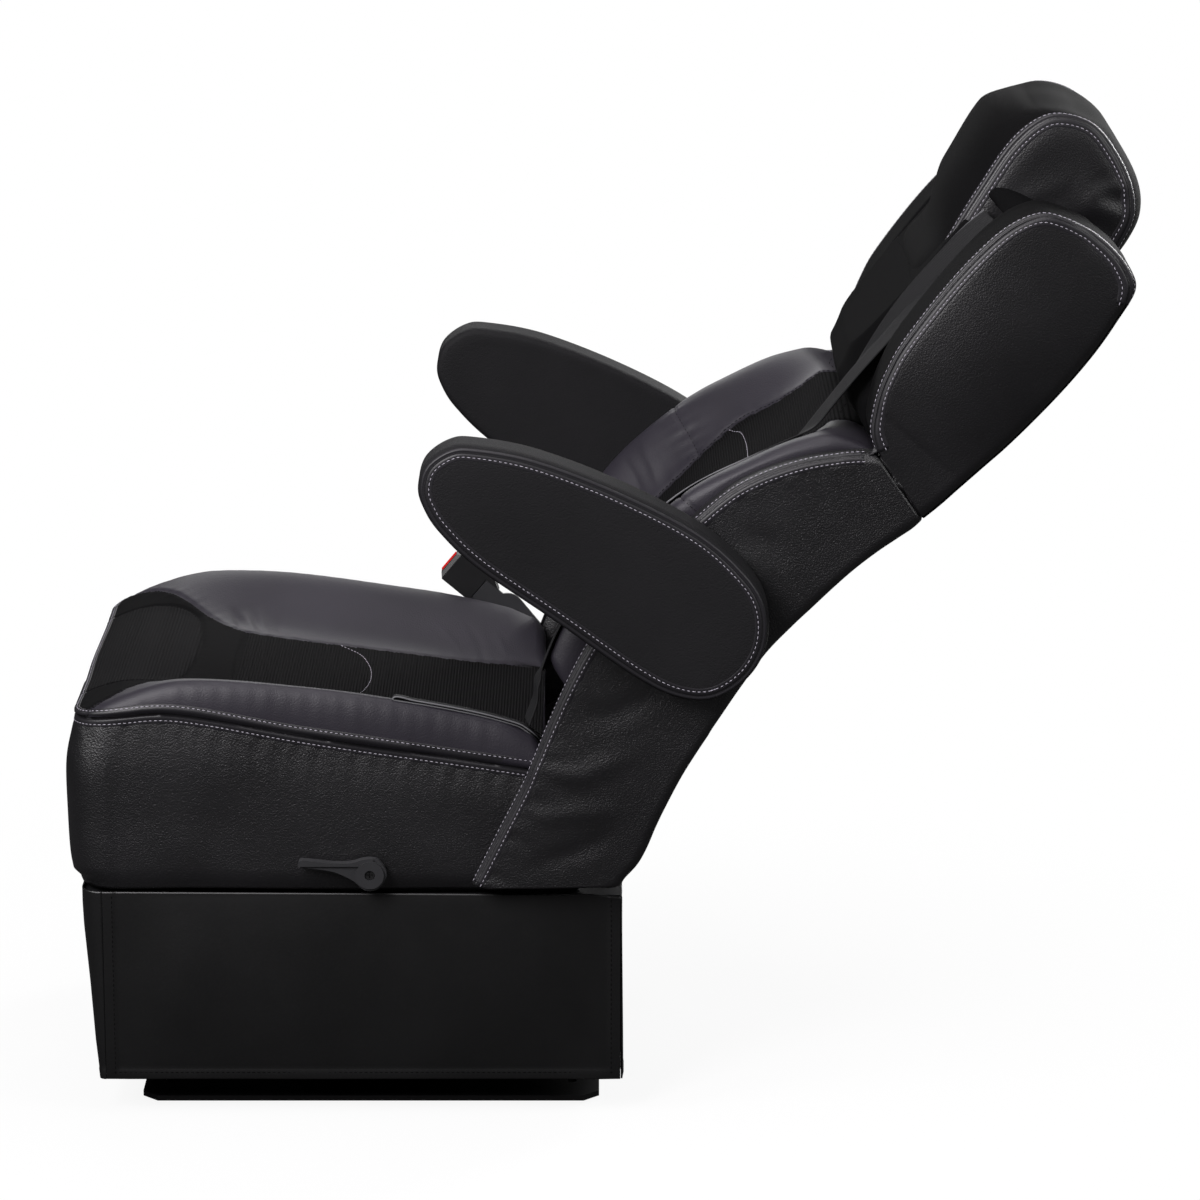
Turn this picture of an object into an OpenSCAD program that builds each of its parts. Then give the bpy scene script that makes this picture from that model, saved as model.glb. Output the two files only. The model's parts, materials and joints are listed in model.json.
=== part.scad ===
/* [Pedestal] */
// Width of the floor plate across the seat
plate_x = 430; // [380:5:460]
// Length of the floor plate along the seat
plate_y = 500; // [440:5:520]
// Thickness of the floor plate
plate_t = 6; // [4:0.5:10]
// Distance between the floor bolts across the seat
bolt_dx = 330; // [280:5:350]
// Distance between the floor bolts along the seat
bolt_dy = 440; // [380:5:450]
// Diameter of the floor bolt holes
bolt_hole_d = 11; // [8:0.5:14]
// Outside diameter of the column tube
column_d = 110; // [90:1:112]
// Wall of the column tube
column_wall = 5; // [3:0.5:8]
// Height of the column from the floor plate to the top of its flange
column_h = 140; // [110:1:150]
// Diameter of the column flange
flange_d = 200; // [170:1:220]
// Thickness of the column gussets
gusset_t = 5; // [3:0.5:8]

/* [Swivel] */
// Side of the square swivel plates
swivel_w = 250; // [236:1:270]
// Thickness of each swivel plate
swivel_t = 4; // [3:0.5:6]
// Thickness of the bearing ring between the swivel plates
bearing_t = 8; // [6:0.5:10]
// Mean diameter of the bearing ring
bearing_d = 190; // [150:1:210]
// Diameter of the swivel pivot bolt
swivel_bolt_d = 16; // [12:1:20]

/* [Slide] */
// Length of the slide rails
rail_len = 398; // [340:2:400]
// Width of a slide rail
rail_w = 36; // [30:1:40]
// Height of the lower rail channel
rail_h = 20; // [16:1:24]
// Sheet thickness of the rails
rail_wall = 2.5; // [2:0.25:3]
// Distance between the two rails
rail_spread = 200; // [180:2:204]
// Running gap between an upper rail and its channel
rail_gap = 0.4; // [0.3:0.05:0.6]

/* [Seat frame] */
// Height of the seat pan's underside above the floor
pan_z = 245; // [240:0.5:246]
// Sheet thickness of the seat pan
pan_t = 3; // [2:0.5:4]
// Half width of the seat pan over its down turned rim
pan_half = 255.2; // [248:0.2:257]
// Height of the rail under the seat pan that the skirt is fixed to
pan_rim = 14; // [8:1:20]
// Inner face of the steel side plates from the middle of the seat
side_plate_x = 236; // [232:0.5:237]
// Thickness of the steel side plates and recliner arms
side_plate_t = 4; // [3:0.5:5]

/* [Recliner] */
// Recline axis behind the middle of the pedestal
pivot_y = 240; // [236:1:244]
// Recline axis above the floor
pivot_z = 306; // [302:1:310]
// Lean of the backrest from upright as it is modelled
back_lean = 40.5; // [38:0.5:44]
// Diameter of a recliner disc
disc_d = 74; // [64:1:80]
// Thickness of each half of a recliner disc
disc_half_t = 4.9; // [4:0.1:5.4]
// Diameter of the release shaft along the recline axis
shaft_d = 10; // [8:0.5:12]
// Radius of the release cranks
crank_r = 22; // [16:1:24]

/* [Recline lever] */
// Lever axis behind the middle of the pedestal
lever_y = 5; // [-10:1:20]
// Lever axis above the floor
lever_z = 278; // [274:1:284]
// Length of the lever from its axis to the tip
lever_len = 78; // [60:1:90]
// Radius of the lever's boss
lever_boss_r = 18; // [15:0.5:20]
// Diameter of the lever spindle
spindle_d = 10; // [8:0.5:12]

/* [Seat cushion] */
// Half width of the cushion at its side seam
cushion_half = 264; // [262:0.5:270]
// Front of the cushion from the middle of the pedestal
cushion_front = 311; // [304:1:316]
// Rear of the cushion from the middle of the pedestal
cushion_rear = 188; // [180:1:190]
// Half width of the foam between the side plates
foam_half = 222; // [200:1:223]
// Radius of the cushion's front corners seen from above
cushion_corner_r = 45; // [35:1:60]
// Thickness of the sewn side and front panels
panel_t = 13; // [9:0.5:14]
// Underside of the sewn panels above the floor
panel_z = 256; // [254:0.5:258]
// Half width of the ribbed middle of the cushion and backrest
insert_half = 150; // [135:1:160]

/* [Backrest] */
// Thickness of the backrest's side lobes beside the seat cushion
lobe_t = 19.4; // [17:0.2:22]
// Front of the backrest structure ahead of the recline axis
foam_back_v = 36.3; // [36:0.1:40]
// Height along the back where the shoulders begin
crease_u = 521; // [515:1:530]
// Half width of the upper middle cushion
upper_half = 195; // [185:1:200]
// Height along the back where the headrest begins
head_u = 690; // [680:1:700]
// Half width of the headrest at its side seam
head_half = 125; // [112:1:126]
// Diameter of the frame uprights
upright_d = 25.4; // [22:0.2:25.4]

/* [Armrests] */
// Arm pivot along the back from the recline axis
arm_u = 268; // [260:1:276]
// Arm pivot ahead of the recline axis
arm_v = 76; // [70:1:80]
// Gap between the backrest and an arm pad
arm_gap = 4; // [3:0.5:6]
// Thickness of an arm pad at its edge
arm_t = 57; // [52:1:62]
// Diameter of the arm pivot bolts
arm_bolt_d = 16; // [12:1:18]

/* [Belt] */
// Width of the belt webbing
web_w = 47; // [44:1:50]
// Thickness of the belt webbing
web_t = 1.6; // [1.2:0.1:2]
// Length of the buckle housing
buckle_len = 66; // [58:1:72]
// Width of the buckle housing up and down
buckle_w = 38; // [34:1:42]
// Thickness of the buckle housing
buckle_t = 24; // [20:1:26]

/* [Skirt] */
// Thickness of the skirt sheets
skirt_t = 2.2; // [1.5:0.1:2.3]
// Height of the skirt's lower edge above the floor
skirt_low = 40; // [20:1:80]
// Height of the skirt's upper edge above the floor
skirt_top = 252; // [248:0.5:253]
// Front edge of the side skirts from the middle of the pedestal
skirt_front = 284; // [270:1:290]
// Rear edge of the side skirts from the middle of the pedestal
skirt_rear = 273; // [266:1:278]

/* [Hidden] */
$fn = 48;

// Small gap between soft pieces and what they rest on
soft_gap = 0.3;
// Radial running gap of pins and shafts
run_gap = 0.05;

column_top = plate_t + column_h;
swivel_low_z = column_top;
bearing_z = swivel_low_z + swivel_t;
swivel_up_z = bearing_z + bearing_t;
rail_z = swivel_up_z + swivel_t;
rail_top_z = rail_z + rail_h + 4;
pan_top = pan_z + pan_t;
disc_x = side_plate_x + side_plate_t;
disc_gap = 0.2;
arm_plate_x = disc_x + 2 * disc_half_t + disc_gap;
back_foam_half = arm_plate_x - soft_gap;
upright_x = arm_plate_x - upright_d / 2 - 0.2;
upright_v = 22;
tower_top = 800;
crank_t = 3.5;
crank_x = side_plate_x - crank_t - 0.3;
link_t = 3;
link_x = crank_x - link_t - 0.3;
lobe_x = cushion_half + 0.6;
back_half = lobe_x + lobe_t;
arm_x = back_half + arm_gap;

// General shapes

// One point of a smooth curve through key points, i is the piece and t the share along it
function spline_at(p, i, t) =
    let (a = p[max(i - 1, 0)], b = p[i], c = p[min(i + 1, len(p) - 1)], d = p[min(i + 2, len(p) - 1)])
    0.5 * (2 * b + (c - a) * t + (2 * a - 5 * b + 4 * c - d) * t * t + (3 * b - a - 3 * c + d) * t * t * t);
// Smooth open curve through key points with n steps for each piece
function spline(p, n) = concat(
    [for (i = [0 : len(p) - 2], k = [0 : n - 1]) spline_at(p, i, k / n)], [p[len(p) - 1]]);
// Smooth closed curve through key points
function ring_point(p, i, t) =
    let (m = len(p), a = p[(i + m - 1) % m], b = p[i], c = p[(i + 1) % m], d = p[(i + 2) % m])
    0.5 * (2 * b + (c - a) * t + (2 * a - 5 * b + 4 * c - d) * t * t + (3 * b - a - 3 * c + d) * t * t * t);
function ring_curve(p, n) = [for (i = [0 : len(p) - 1], k = [0 : n - 1]) ring_point(p, i, k / n)];
// Turns a vector a quarter to the right and makes it one long
function side_of(v) = let (l = norm(v)) l < 0.0001 ? [0, 0] : [v[1], -v[0]] / l;
// Moves every point of a closed outline inwards, the outline runs anticlockwise
function inset(p, d) = let (m = len(p))
    [for (i = [0 : m - 1]) p[i] - d * side_of(p[(i + 1) % m] - p[(i + m - 1) % m])];
// Shrinks a whole outline so that its extreme points move in by d
function shrunk(p, d) =
    let (y0 = min([for (q = p) q[0]]), y1 = max([for (q = p) q[0]]),
        z0 = min([for (q = p) q[1]]), z1 = max([for (q = p) q[1]]),
        c = [y0 + y1, z0 + z1] / 2, k = [1 - 2 * d / (y1 - y0), 1 - 2 * d / (z1 - z0)])
    [for (q = p) [c[0] + (q[0] - c[0]) * k[0], c[1] + (q[1] - c[1]) * k[1]]];
function backwards(p) = [for (i = [len(p) - 1 : -1 : 0]) p[i]];
function smooth_step(t) = let (s = min(max(t, 0), 1)) s * s * (3 - 2 * s);
// Quarter round share from 0 at an edge to 1 at the full height
function round_share(t) = let (s = min(max(t, 0), 1)) sqrt(1 - (1 - s) * (1 - s));

// Closed skin over a list of rings with the same number of points. A ladder closes the ends by joining
// point i to point i from the end, for rings made of two matching chains
module skin(rings, ladder = false) {
    m = len(rings[0]);
    n = len(rings);
    sides = [for (j = [0 : n - 2], i = [0 : m - 1], h = [0, 1])
        let (a = j * m + i, b = j * m + (i + 1) % m, c = a + m, d = b + m)
        h == 0 ? [a, d, b] : [a, c, d]];
    rungs = [for (i = [0 : m / 2 - 2], h = [0, 1])
        h == 0 ? [i, i + 1, m - 2 - i] : [i, m - 2 - i, m - 1 - i]];
    first = ladder ? rungs : [[for (i = [0 : m - 1]) i]];
    last = [for (f = first) [for (i = [len(f) - 1 : -1 : 0]) (n - 1) * m + f[i]]];
    polyhedron(points = [for (r = rings) each r], faces = concat(first, sides, last));
}
// Rounded slab along X from an outline of [y, z] points: list of [x, inset] gives its section
module slab(outline, steps, even = false, ladder = false) {
    skin([for (s = steps) [for (q = even ? inset(outline, s[1]) : shrunk(outline, s[1])) [s[0], q[0], q[1]]]],
        ladder);
}
// Section of a pad that is round on its outer face, from x0 to x1 with edge radius r
function pad_steps(x0, x1, r, crown) = concat(
    [[x0, r * 0.45]],
    [[x0 + 0.12 * r, r * 0.2], [x0 + r * 0.45, 0], [x1 - r, 0]],
    [for (a = [25, 50, 70, 85]) [x1 - r + r * sin(a), r * (1 - cos(a))]],
    [[x1 + crown * 0.6, r + 9], [x1 + crown, r + 20]]);

// Places children in the backrest's own frame: x, rearwards from the recline axis, up along the back
module on_back() {
    translate([0, pivot_y, pivot_z]) rotate([-back_lean, 0, 0]) children();
}
// Same place for a point given as [v ahead of the axis, u up the back]
function back_point(v, u) = [
    pivot_y + u * sin(back_lean) - v * cos(back_lean),
    pivot_z + u * cos(back_lean) + v * sin(back_lean)];
module both_sides() {
    children();
    mirror([1, 0, 0]) children();
}
// Rod along X
module rod_x(x0, x1, d) {
    translate([x0, 0, 0]) rotate([0, 90, 0]) cylinder(d = d, h = x1 - x0);
}
// Plate across X with a profile in y and z
module plate_x(x0, t) {
    translate([x0, 0, 0]) rotate([90, 0, 90]) linear_extrude(t) children();
}

// Pedestal

module floor_plate() {
    color("dimgray") difference() {
        linear_extrude(plate_t) difference() {
            square([plate_x, plate_y], center = true);
            for (x = [-1, 1], y = [-1, 1])
                translate([x * plate_x / 2, y * plate_y / 2]) rotate(45) square(24, center = true);
        }
        for (x = [-1, 1], y = [-1, 1])
            translate([x * bolt_dx / 2, y * bolt_dy / 2, -1]) cylinder(d = bolt_hole_d, h = plate_t + 2);
    }
}

flange_t = 6;
module pedestal_column() {
    gusset_reach = flange_d / 2 - 8;
    color("dimgray") difference() {
        union() {
            translate([0, 0, plate_t]) cylinder(d = column_d, h = column_h);
            translate([0, 0, column_top - flange_t]) cylinder(d = flange_d, h = flange_t);
            for (a = [45 : 90 : 315]) rotate(a) translate([0, gusset_t / 2, 0]) rotate([90, 0, 0])
                linear_extrude(gusset_t) polygon([
                    [column_d / 2 - column_wall, plate_t], [gusset_reach + 40, plate_t],
                    [gusset_reach + 40, plate_t + 12], [column_d / 2 + 14, column_top - flange_t - 30],
                    [gusset_reach, column_top - flange_t],
                    [column_d / 2 - column_wall, column_top - flange_t]]);
        }
        translate([0, 0, plate_t - 1]) cylinder(d = column_d - 2 * column_wall, h = column_h - flange_t + 1);
        translate([0, 0, column_top - flange_t - 1]) cylinder(d = swivel_bolt_d, h = flange_t + 2);
    }
}

module swivel_plate(hole_d) {
    corner = 30;
    linear_extrude(swivel_t) difference() {
        square(swivel_w, center = true);
        for (x = [-1, 1], y = [-1, 1])
            translate([x * swivel_w / 2, y * swivel_w / 2]) rotate(45) square(corner, center = true);
        circle(d = hole_d);
    }
}
module swivel_lower_plate() {
    color("gray") translate([0, 0, swivel_low_z]) swivel_plate(swivel_bolt_d);
}
module swivel_bearing() {
    color("ivory") translate([0, 0, bearing_z]) rotate_extrude()
        translate([bearing_d / 2 - 7, 0]) square([14, bearing_t]);
}
// Hexagon bolt from below the flange, washer and nut above the upper swivel plate
module swivel_pivot_bolt() {
    head_t = 10;
    washer_t = 3;
    nut_t = 9;
    low = column_top - flange_t;
    washer_z = swivel_up_z + swivel_t + 0.3;
    color("silver") {
        translate([0, 0, low - head_t]) cylinder(d = swivel_bolt_d * 1.75, h = head_t, $fn = 6);
        translate([0, 0, low - 0.5]) cylinder(d = swivel_bolt_d, h = washer_z + washer_t + nut_t + 1.2 - low);
        translate([0, 0, washer_z]) cylinder(d = swivel_bolt_d * 2, h = washer_t);
        translate([0, 0, washer_z + washer_t]) cylinder(d = swivel_bolt_d * 1.6, h = nut_t, $fn = 6);
    }
}
module swivel_upper_plate() {
    color("gray") translate([0, 0, swivel_up_z]) swivel_plate(swivel_bolt_d + 2 * run_gap);
}

// Slide

rail_lip = 8;
rail_mid = (skirt_rear - skirt_front - 21) / 2;
module lower_rail_profile() {
    inner = rail_w - 2 * rail_wall;
    difference() {
        translate([-rail_w / 2, 0]) square([rail_w, rail_h]);
        translate([-inner / 2, rail_wall]) square([inner, rail_h - 2 * rail_wall]);
        translate([-rail_w / 2 + rail_lip, rail_h - rail_wall - 1])
            square([rail_w - 2 * rail_lip, rail_wall + 2]);
    }
}
module upper_rail_profile() {
    foot = rail_w / 2 - rail_wall - rail_gap;
    stem = rail_w / 2 - rail_lip - rail_gap;
    translate([-foot, rail_wall + rail_gap]) square([2 * foot, rail_wall + 2]);
    translate([-stem, rail_wall + rail_gap]) square([2 * stem, rail_h - rail_wall - rail_gap + 1]);
    translate([-rail_w / 2, rail_h + 1]) square([rail_w, rail_top_z - rail_z - rail_h - 1]);
}
module rail_along(side) {
    translate([side * rail_spread / 2, rail_mid + rail_len / 2, rail_z])
        rotate([90, 0, 0]) linear_extrude(rail_len) children();
}
module slide_rail_lower_left() { color("silver") rail_along(1) lower_rail_profile(); }
module slide_rail_lower_right() { color("silver") rail_along(-1) lower_rail_profile(); }
module slide_rail_upper_left() { color("gray") rail_along(1) upper_rail_profile(); }
module slide_rail_upper_right() { color("gray") rail_along(-1) upper_rail_profile(); }

slide_lever_y = -178;
slide_lever_z = rail_top_z + 9;
slide_lever_x = rail_spread / 2 + rail_w / 2 + 6;
slide_lever_d = 9;
// Cross tube on its pin with a forward rod and its grip
module slide_lever() {
    reach = cushion_front - 26;
    grip = 60;
    color("black") translate([-slide_lever_x, slide_lever_y, slide_lever_z]) {
        rod_x(-5.8, 5.8, 16);
        rod_x(-12, 0, slide_lever_d);
        rotate([90, 0, 0]) cylinder(d = slide_lever_d, h = reach + slide_lever_y);
        translate([0, grip - reach - slide_lever_y, 0]) rotate([90, 0, 0]) cylinder(d = 15, h = grip);
    }
}

// Seat frame

riser_y = 150;
riser_w = 40;
module riser() {
    h = pan_z - rail_top_z;
    half = rail_spread / 2 + rail_w / 2;
    translate([0, riser_w / 2, 0]) rotate([90, 0, 0]) linear_extrude(riser_w) polygon([
        [-half, rail_top_z], [-half + rail_w, rail_top_z], [-half + rail_w + 10, pan_z - 8],
        [half - rail_w - 10, pan_z - 8], [half - rail_w, rail_top_z], [half, rail_top_z],
        [half + h * 0.7, pan_z], [-half - h * 0.7, pan_z]]);
}
// The two risers and the ear that carries the slide lever
module seat_risers() {
    ear_w = 16;
    ear_z = rail_top_z + 1;
    color("dimgray") {
        translate([0, riser_y, 0]) riser();
        translate([0, -riser_y, 0]) riser();
        translate([-slide_lever_x - 10, slide_lever_y, 0]) difference() {
            translate([0, -ear_w / 2, ear_z]) cube([4, ear_w, pan_z - ear_z]);
            translate([-1, 0, slide_lever_z]) rod_x(0, 6, slide_lever_d + 2 * run_gap);
        }
    }
}

pan_front = cushion_front - 6;
pan_rear = skirt_rear - 0.2;
module pan_plan(trim) {
    r = pan_front - skirt_front + 1 - trim;
    half = pan_half - trim;
    translate([-half, -skirt_front]) square([2 * half, skirt_front + pan_rear - trim]);
    translate([r - half, -pan_front + trim]) square([2 * (half - r), r + 2]);
    for (x = [-1, 1]) translate([x * (half - r), -pan_front + trim + r]) circle(r = r);
}
module seat_pan() {
    hole = 90;
    color("dimgray") translate([0, 0, pan_z]) difference() {
        linear_extrude(pan_t) pan_plan(0);
        for (x = [-1, 0, 1], y = [-1, 0])
            translate([x * 130, y * 190 + 70, -1]) cylinder(d = hole, h = pan_t + 2);
    }
}
module skirt_rail() {
    bar = 10;
    color("dimgray") translate([0, 0, pan_z - pan_rim]) {
        both_sides() translate([pan_half - bar, -skirt_front, 0])
            cube([bar, skirt_front + pan_rear, pan_rim]);
        translate([-pan_half + bar + 0.5, pan_rear - bar, 0]) cube([2 * (pan_half - bar) - 1, bar, pan_rim]);
        linear_extrude(pan_rim) intersection() {
            difference() {
                pan_plan(0);
                pan_plan(bar);
            }
            translate([-pan_half - 1, -pan_front - 1])
                square([2 * pan_half + 2, pan_front - skirt_front + 0.5]);
        }
    }
}

module seat_side_profile() {
    top_front = lever_z + 20;
    foot = pan_top;
    difference() {
        union() {
            translate([pivot_y, pivot_z]) circle(d = disc_d + 12);
            polygon([[lever_y - 34, foot], [pivot_y - 14, foot], [pivot_y + disc_d / 2, pivot_z],
                [pivot_y - 6, pivot_z + disc_d / 2 + 5], [pivot_y - 90, top_front + 8],
                [lever_y + 24, top_front], [lever_y - 20, top_front - 2], [lever_y - 34, top_front - 16]]);
        }
        translate([lever_y, lever_z]) circle(d = spindle_d + 2 * run_gap);
        translate([pivot_y, pivot_z]) circle(d = shaft_d + 2 * run_gap);
        for (k = [1 : 3]) translate([lever_y + 28 + 44 * k, foot + 28]) circle(d = 22);
    }
}
module seat_side_plate() {
    plate_x(side_plate_x, side_plate_t) seat_side_profile();
}
module seat_side_plate_left() { color("gray") seat_side_plate(); }
module seat_side_plate_right() { color("gray") mirror([1, 0, 0]) seat_side_plate(); }

// Recliner

hub_d = 28;
stud_d = 16;
stalk_t = 4;
stalk_x = back_half + 1.5;
module recliner_disc(stud_end) {
    difference() {
        union() {
            rod_x(disc_x, disc_x + disc_half_t, disc_d);
            rod_x(disc_x, arm_plate_x + side_plate_t + 1, hub_d);
            rod_x(disc_x, stud_end, stud_d);
            if (stud_end > stalk_x) rod_x(stalk_x + stalk_t + 0.3, stud_end, stud_d + 10);
        }
        rod_x(disc_x - 1, arm_plate_x + 3, shaft_d + 2 * run_gap);
    }
}
module recliner_disc_left() {
    color("silver") translate([0, pivot_y, pivot_z]) recliner_disc(arm_plate_x + side_plate_t);
}
module recliner_disc_right() {
    color("silver") translate([0, pivot_y, pivot_z]) mirror([1, 0, 0]) recliner_disc(stalk_x + stalk_t + 3);
}
module release_shaft() {
    color("silver") translate([0, pivot_y, pivot_z]) {
        rod_x(-arm_plate_x - 2, arm_plate_x + 2, shaft_d);
        crank();
    }
}
pin_d = 6;
// Half of the lever's travel: the cranks rest this far ahead of upright, so that the link moves level
crank_lean = 12.5;
// Arm with the pin that carries the link
module crank() {
    rotate([crank_lean, 0, 0]) {
        plate_x(crank_x, crank_t) {
            circle(d = 20);
            translate([-6, 0]) square([12, crank_r]);
            translate([0, crank_r]) circle(d = 12);
        }
        translate([0, 0, crank_r]) rod_x(link_x - 1, crank_x + 1, pin_d);
    }
}
module recline_link() {
    reach = crank_r * [-sin(crank_lean), cos(crank_lean)];
    ends = [[lever_y, lever_z] + reach, [pivot_y, pivot_z] + reach];
    half = 5;
    color("silver") plate_x(link_x, link_t) difference() {
        union() {
            for (e = ends) translate(e) circle(d = 15);
            polygon([ends[0] - [0, half], ends[1] - [0, half], ends[1] + [0, half], ends[0] + [0, half]]);
        }
        for (e = ends) translate(e) circle(d = pin_d + 1.4);
    }
}

// Recline lever

lever_x = cushion_half + 2;
lever_t = 17;
module lever_outline() {
    r = lever_boss_r;
    l = lever_len;
    polygon(spline([
        [-l + 1, 10], [-l + 4, 16], [-l * 0.78, 15.5], [-l * 0.5, 13], [-r * 1.1, 13.5], [-r * 0.3, r * 0.97],
        [r * 0.5, r * 0.87], [r, 0], [r * 0.5, -r * 0.87], [-r * 0.3, -r * 0.97], [-r * 1.05, -r * 0.35],
        [-l * 0.5, 3], [-l * 0.78, 6.5], [-l + 4, 8]], 4));
}
module recline_lever() {
    color([0.10, 0.10, 0.11]) translate([0, lever_y, lever_z]) difference() {
        union() {
            plate_x(lever_x + 5, lever_t - 9) lever_outline();
            rod_x(lever_x, lever_x + lever_t, 2 * lever_boss_r - 6);
            plate_x(lever_x + 12, 3.5) intersection() {
                lever_outline();
                translate([-lever_len, 9.5]) square([lever_len + 4, 12]);
            }
        }
        rod_x(lever_x + lever_t - 6, lever_x + lever_t + 1, 11);
        rod_x(lever_x - 1, lever_x + lever_t, 5);
        rod_x(lever_x - 1, lever_x + 8, spindle_d);
    }
}
module lever_screw() {
    color("silver") translate([0, lever_y, lever_z]) {
        difference() {
            rod_x(lever_x + lever_t - 6, lever_x + lever_t - 2, 10);
            translate([lever_x + lever_t - 3.5, -0.8, -3.5]) cube([2, 1.6, 7]);
            translate([lever_x + lever_t - 3.5, -3.5, -0.8]) cube([2, 7, 1.6]);
        }
        rod_x(lever_x + 8, lever_x + lever_t - 5.5, 5);
    }
}
module lever_spindle() {
    color("silver") translate([0, lever_y, lever_z]) {
        rod_x(crank_x, lever_x + 8, spindle_d);
        crank();
    }
}

// Seat cushion, heights above the floor by distance behind the middle of the pedestal

function seam_z(y) = lookup(y, spline([[-cushion_front, 443], [-260, 449], [-196, 451], [-68, 428],
    [91, 404], [176, 391], [230, 384]], 4));
function crest_z(y) = lookup(y, spline([[-cushion_front, 448], [-278, 457], [-253, 466], [-225, 475],
    [-190, 480], [-124, 478], [-49, 471], [26, 459], [80, 450], [135, 438], [200, 418]], 4));
function insert_z(y) = lookup(y, spline([[-cushion_front, 452], [-260, 459], [-200, 453], [-145, 442],
    [-65, 430], [30, 416], [100, 405], [200, 389]], 4));
function cushion_w(y) = let (r = cushion_corner_r, d = y + cushion_front)
    cushion_half - r + r * round_share(d / r);
function cushion_top(x, y) =
    let (w = cushion_w(y), s = abs(x) / w,
        inner = insert_z(y) + 4 * (1 - s * s),
        rise = smooth_step((abs(x) - insert_half + 20) / (0.96 * w - insert_half + 20)),
        high = inner + (crest_z(y) - inner) * rise,
        edge = round_share((w - abs(x)) / 15), front = round_share((y + cushion_front) / 55),
        rear = 0.35 + 0.65 * round_share((cushion_rear - y) / 26))
    seam_z(y) + 1 + (high - seam_z(y) - 1) * edge * front * (high > seam_z(y) ? rear : 1);
side_base = cushion_half - 4;
// Half width of the foam block, rounded at the front inside the front panel
function foam_w(y) =
    let (r = cushion_corner_r - panel_t - soft_gap - 0.5, d = y + cushion_front - cushion_corner_r)
    min(foam_half, cushion_w(y) - 2,
        side_base - cushion_corner_r + (d < 0 ? sqrt(max(r * r - d * d, 0)) : r));
module seat_cushion() {
    shares = [-1, -0.985, -0.955, -0.9, -0.83, -0.74, -0.64, -0.55, -0.35, 0,
        0.35, 0.55, 0.64, 0.74, 0.83, 0.9, 0.955, 0.985, 1];
    shelf = cushion_front - panel_t - soft_gap;
    stations = concat([0.5, 3, 8, panel_t + 0.05] - [for (k = [1 : 4]) cushion_front],
        [-shelf, -285, -262, -235, -205, -170, -130, -90, -50, -10, 30, 70, 105, 135, 160, 176],
        [cushion_rear - 4, cushion_rear]);
    rings = [for (y = stations)
        let (w = cushion_w(y), foam = foam_w(y),
            low = y < -shelf ? seam_z(y) - 0.01 : pan_top + soft_gap)
        concat([[-foam, y, low], [-foam, y, seam_z(y)]],
            [for (s = shares) [s * w, y, max(cushion_top(s * w, y), seam_z(y) + 0.6)]],
            [[foam, y, seam_z(y)], [foam, y, low]])];
    color([0.12, 0.12, 0.13]) skin(rings);
}
// Sewn panel along a path of [x, y, outward x, outward y] points
module sewn_panel(path, crown) {
    color([0.12, 0.12, 0.13]) skin([for (q = path)
        let (top = seam_z(q[1]) - soft_gap, h = top - panel_z)
        [for (c = [[0, 0], [0, 1], [panel_t * 0.6, 1], [panel_t, 0.96], [panel_t + crown, 0.7],
                [panel_t + crown, 0.4], [panel_t + crown * 0.7, 0.12], [panel_t * 0.8, 0]])
            [q[0] + q[2] * (c[0] - panel_t), q[1] + q[3] * (c[0] - panel_t), panel_z + h * c[1]]]]);
}
panel_rear = 176;
function side_path(s) = [for (y = [-cushion_front + cushion_corner_r : 33 : panel_rear])
    [s * side_base, y, s, 0]];
module seat_panel_left() {
    color([0.12, 0.12, 0.13]) difference() {
        sewn_panel(side_path(1), 4);
        translate([0, lever_y, lever_z]) rod_x(side_plate_x + 5, cushion_half + 5, spindle_d + 3);
    }
}
module seat_panel_right() {
    sewn_panel(backwards(side_path(-1)), 4);
}
module seat_panel_front() {
    r = cushion_corner_r;
    cx = side_base - r;
    cy = -cushion_front + r;
    left = [for (a = [-1.5, -18, -36, -54, -72, -90]) [cx + r * cos(a), cy + r * sin(a), cos(a), sin(a)]];
    mid = [for (x = [cx * 0.5, 0, -cx * 0.5]) [x, cy - r, 0, -1]];
    right = [for (a = [-90, -108, -126, -144, -162, -178.5])
        [-cx + r * cos(a), cy + r * sin(a), cos(a), sin(a)]];
    sewn_panel(backwards(concat(left, mid, right)), 12);
}

// Skirt

skirt_x = pan_half + 0.2;
module side_skirt() {
    plate_x(skirt_x, skirt_t) polygon([[-skirt_front, skirt_low], [skirt_rear, skirt_low],
        [skirt_rear, skirt_top - 6], [skirt_rear - 30, skirt_top - 3], [-skirt_front, skirt_top]]);
}
module skirt_left() { color([0.1, 0.1, 0.1]) side_skirt(); }
module skirt_right() { color([0.1, 0.1, 0.1]) mirror([1, 0, 0]) side_skirt(); }
// Reach of the front skirt ahead of the side skirts by height share
function skirt_reach(t) = let (full = pan_front + 0.2 + skirt_t - skirt_front)
    full * lookup(t, [[0, 0.3], [0.2, 0.5], [0.5, 0.7], [0.8, 0.95], [0.92, 1], [1, 1]]);
module skirt_front_panel() {
    outer = skirt_x + skirt_t;
    angles = [0, 18, 36, 54, 72, 90];
    rings = [for (t = [0, 0.2, 0.5, 0.8, 0.92, 1])
        let (r = skirt_reach(t), z = skirt_low + t * (skirt_top - skirt_low),
            path = concat([for (a = angles) [outer - r + r * cos(a), -skirt_front - 0.1 - r * sin(a), a]],
                [for (a = angles) [-outer + r - r * sin(a), -skirt_front - 0.1 - r * cos(a), 90 + a]]))
        concat([for (q = backwards(path)) [q[0], q[1], z]],
            [for (q = path) [q[0] - skirt_t * cos(q[2]), q[1] + skirt_t * sin(q[2]), z]])];
    color([0.1, 0.1, 0.1]) skin(rings, ladder = true);
}
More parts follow.
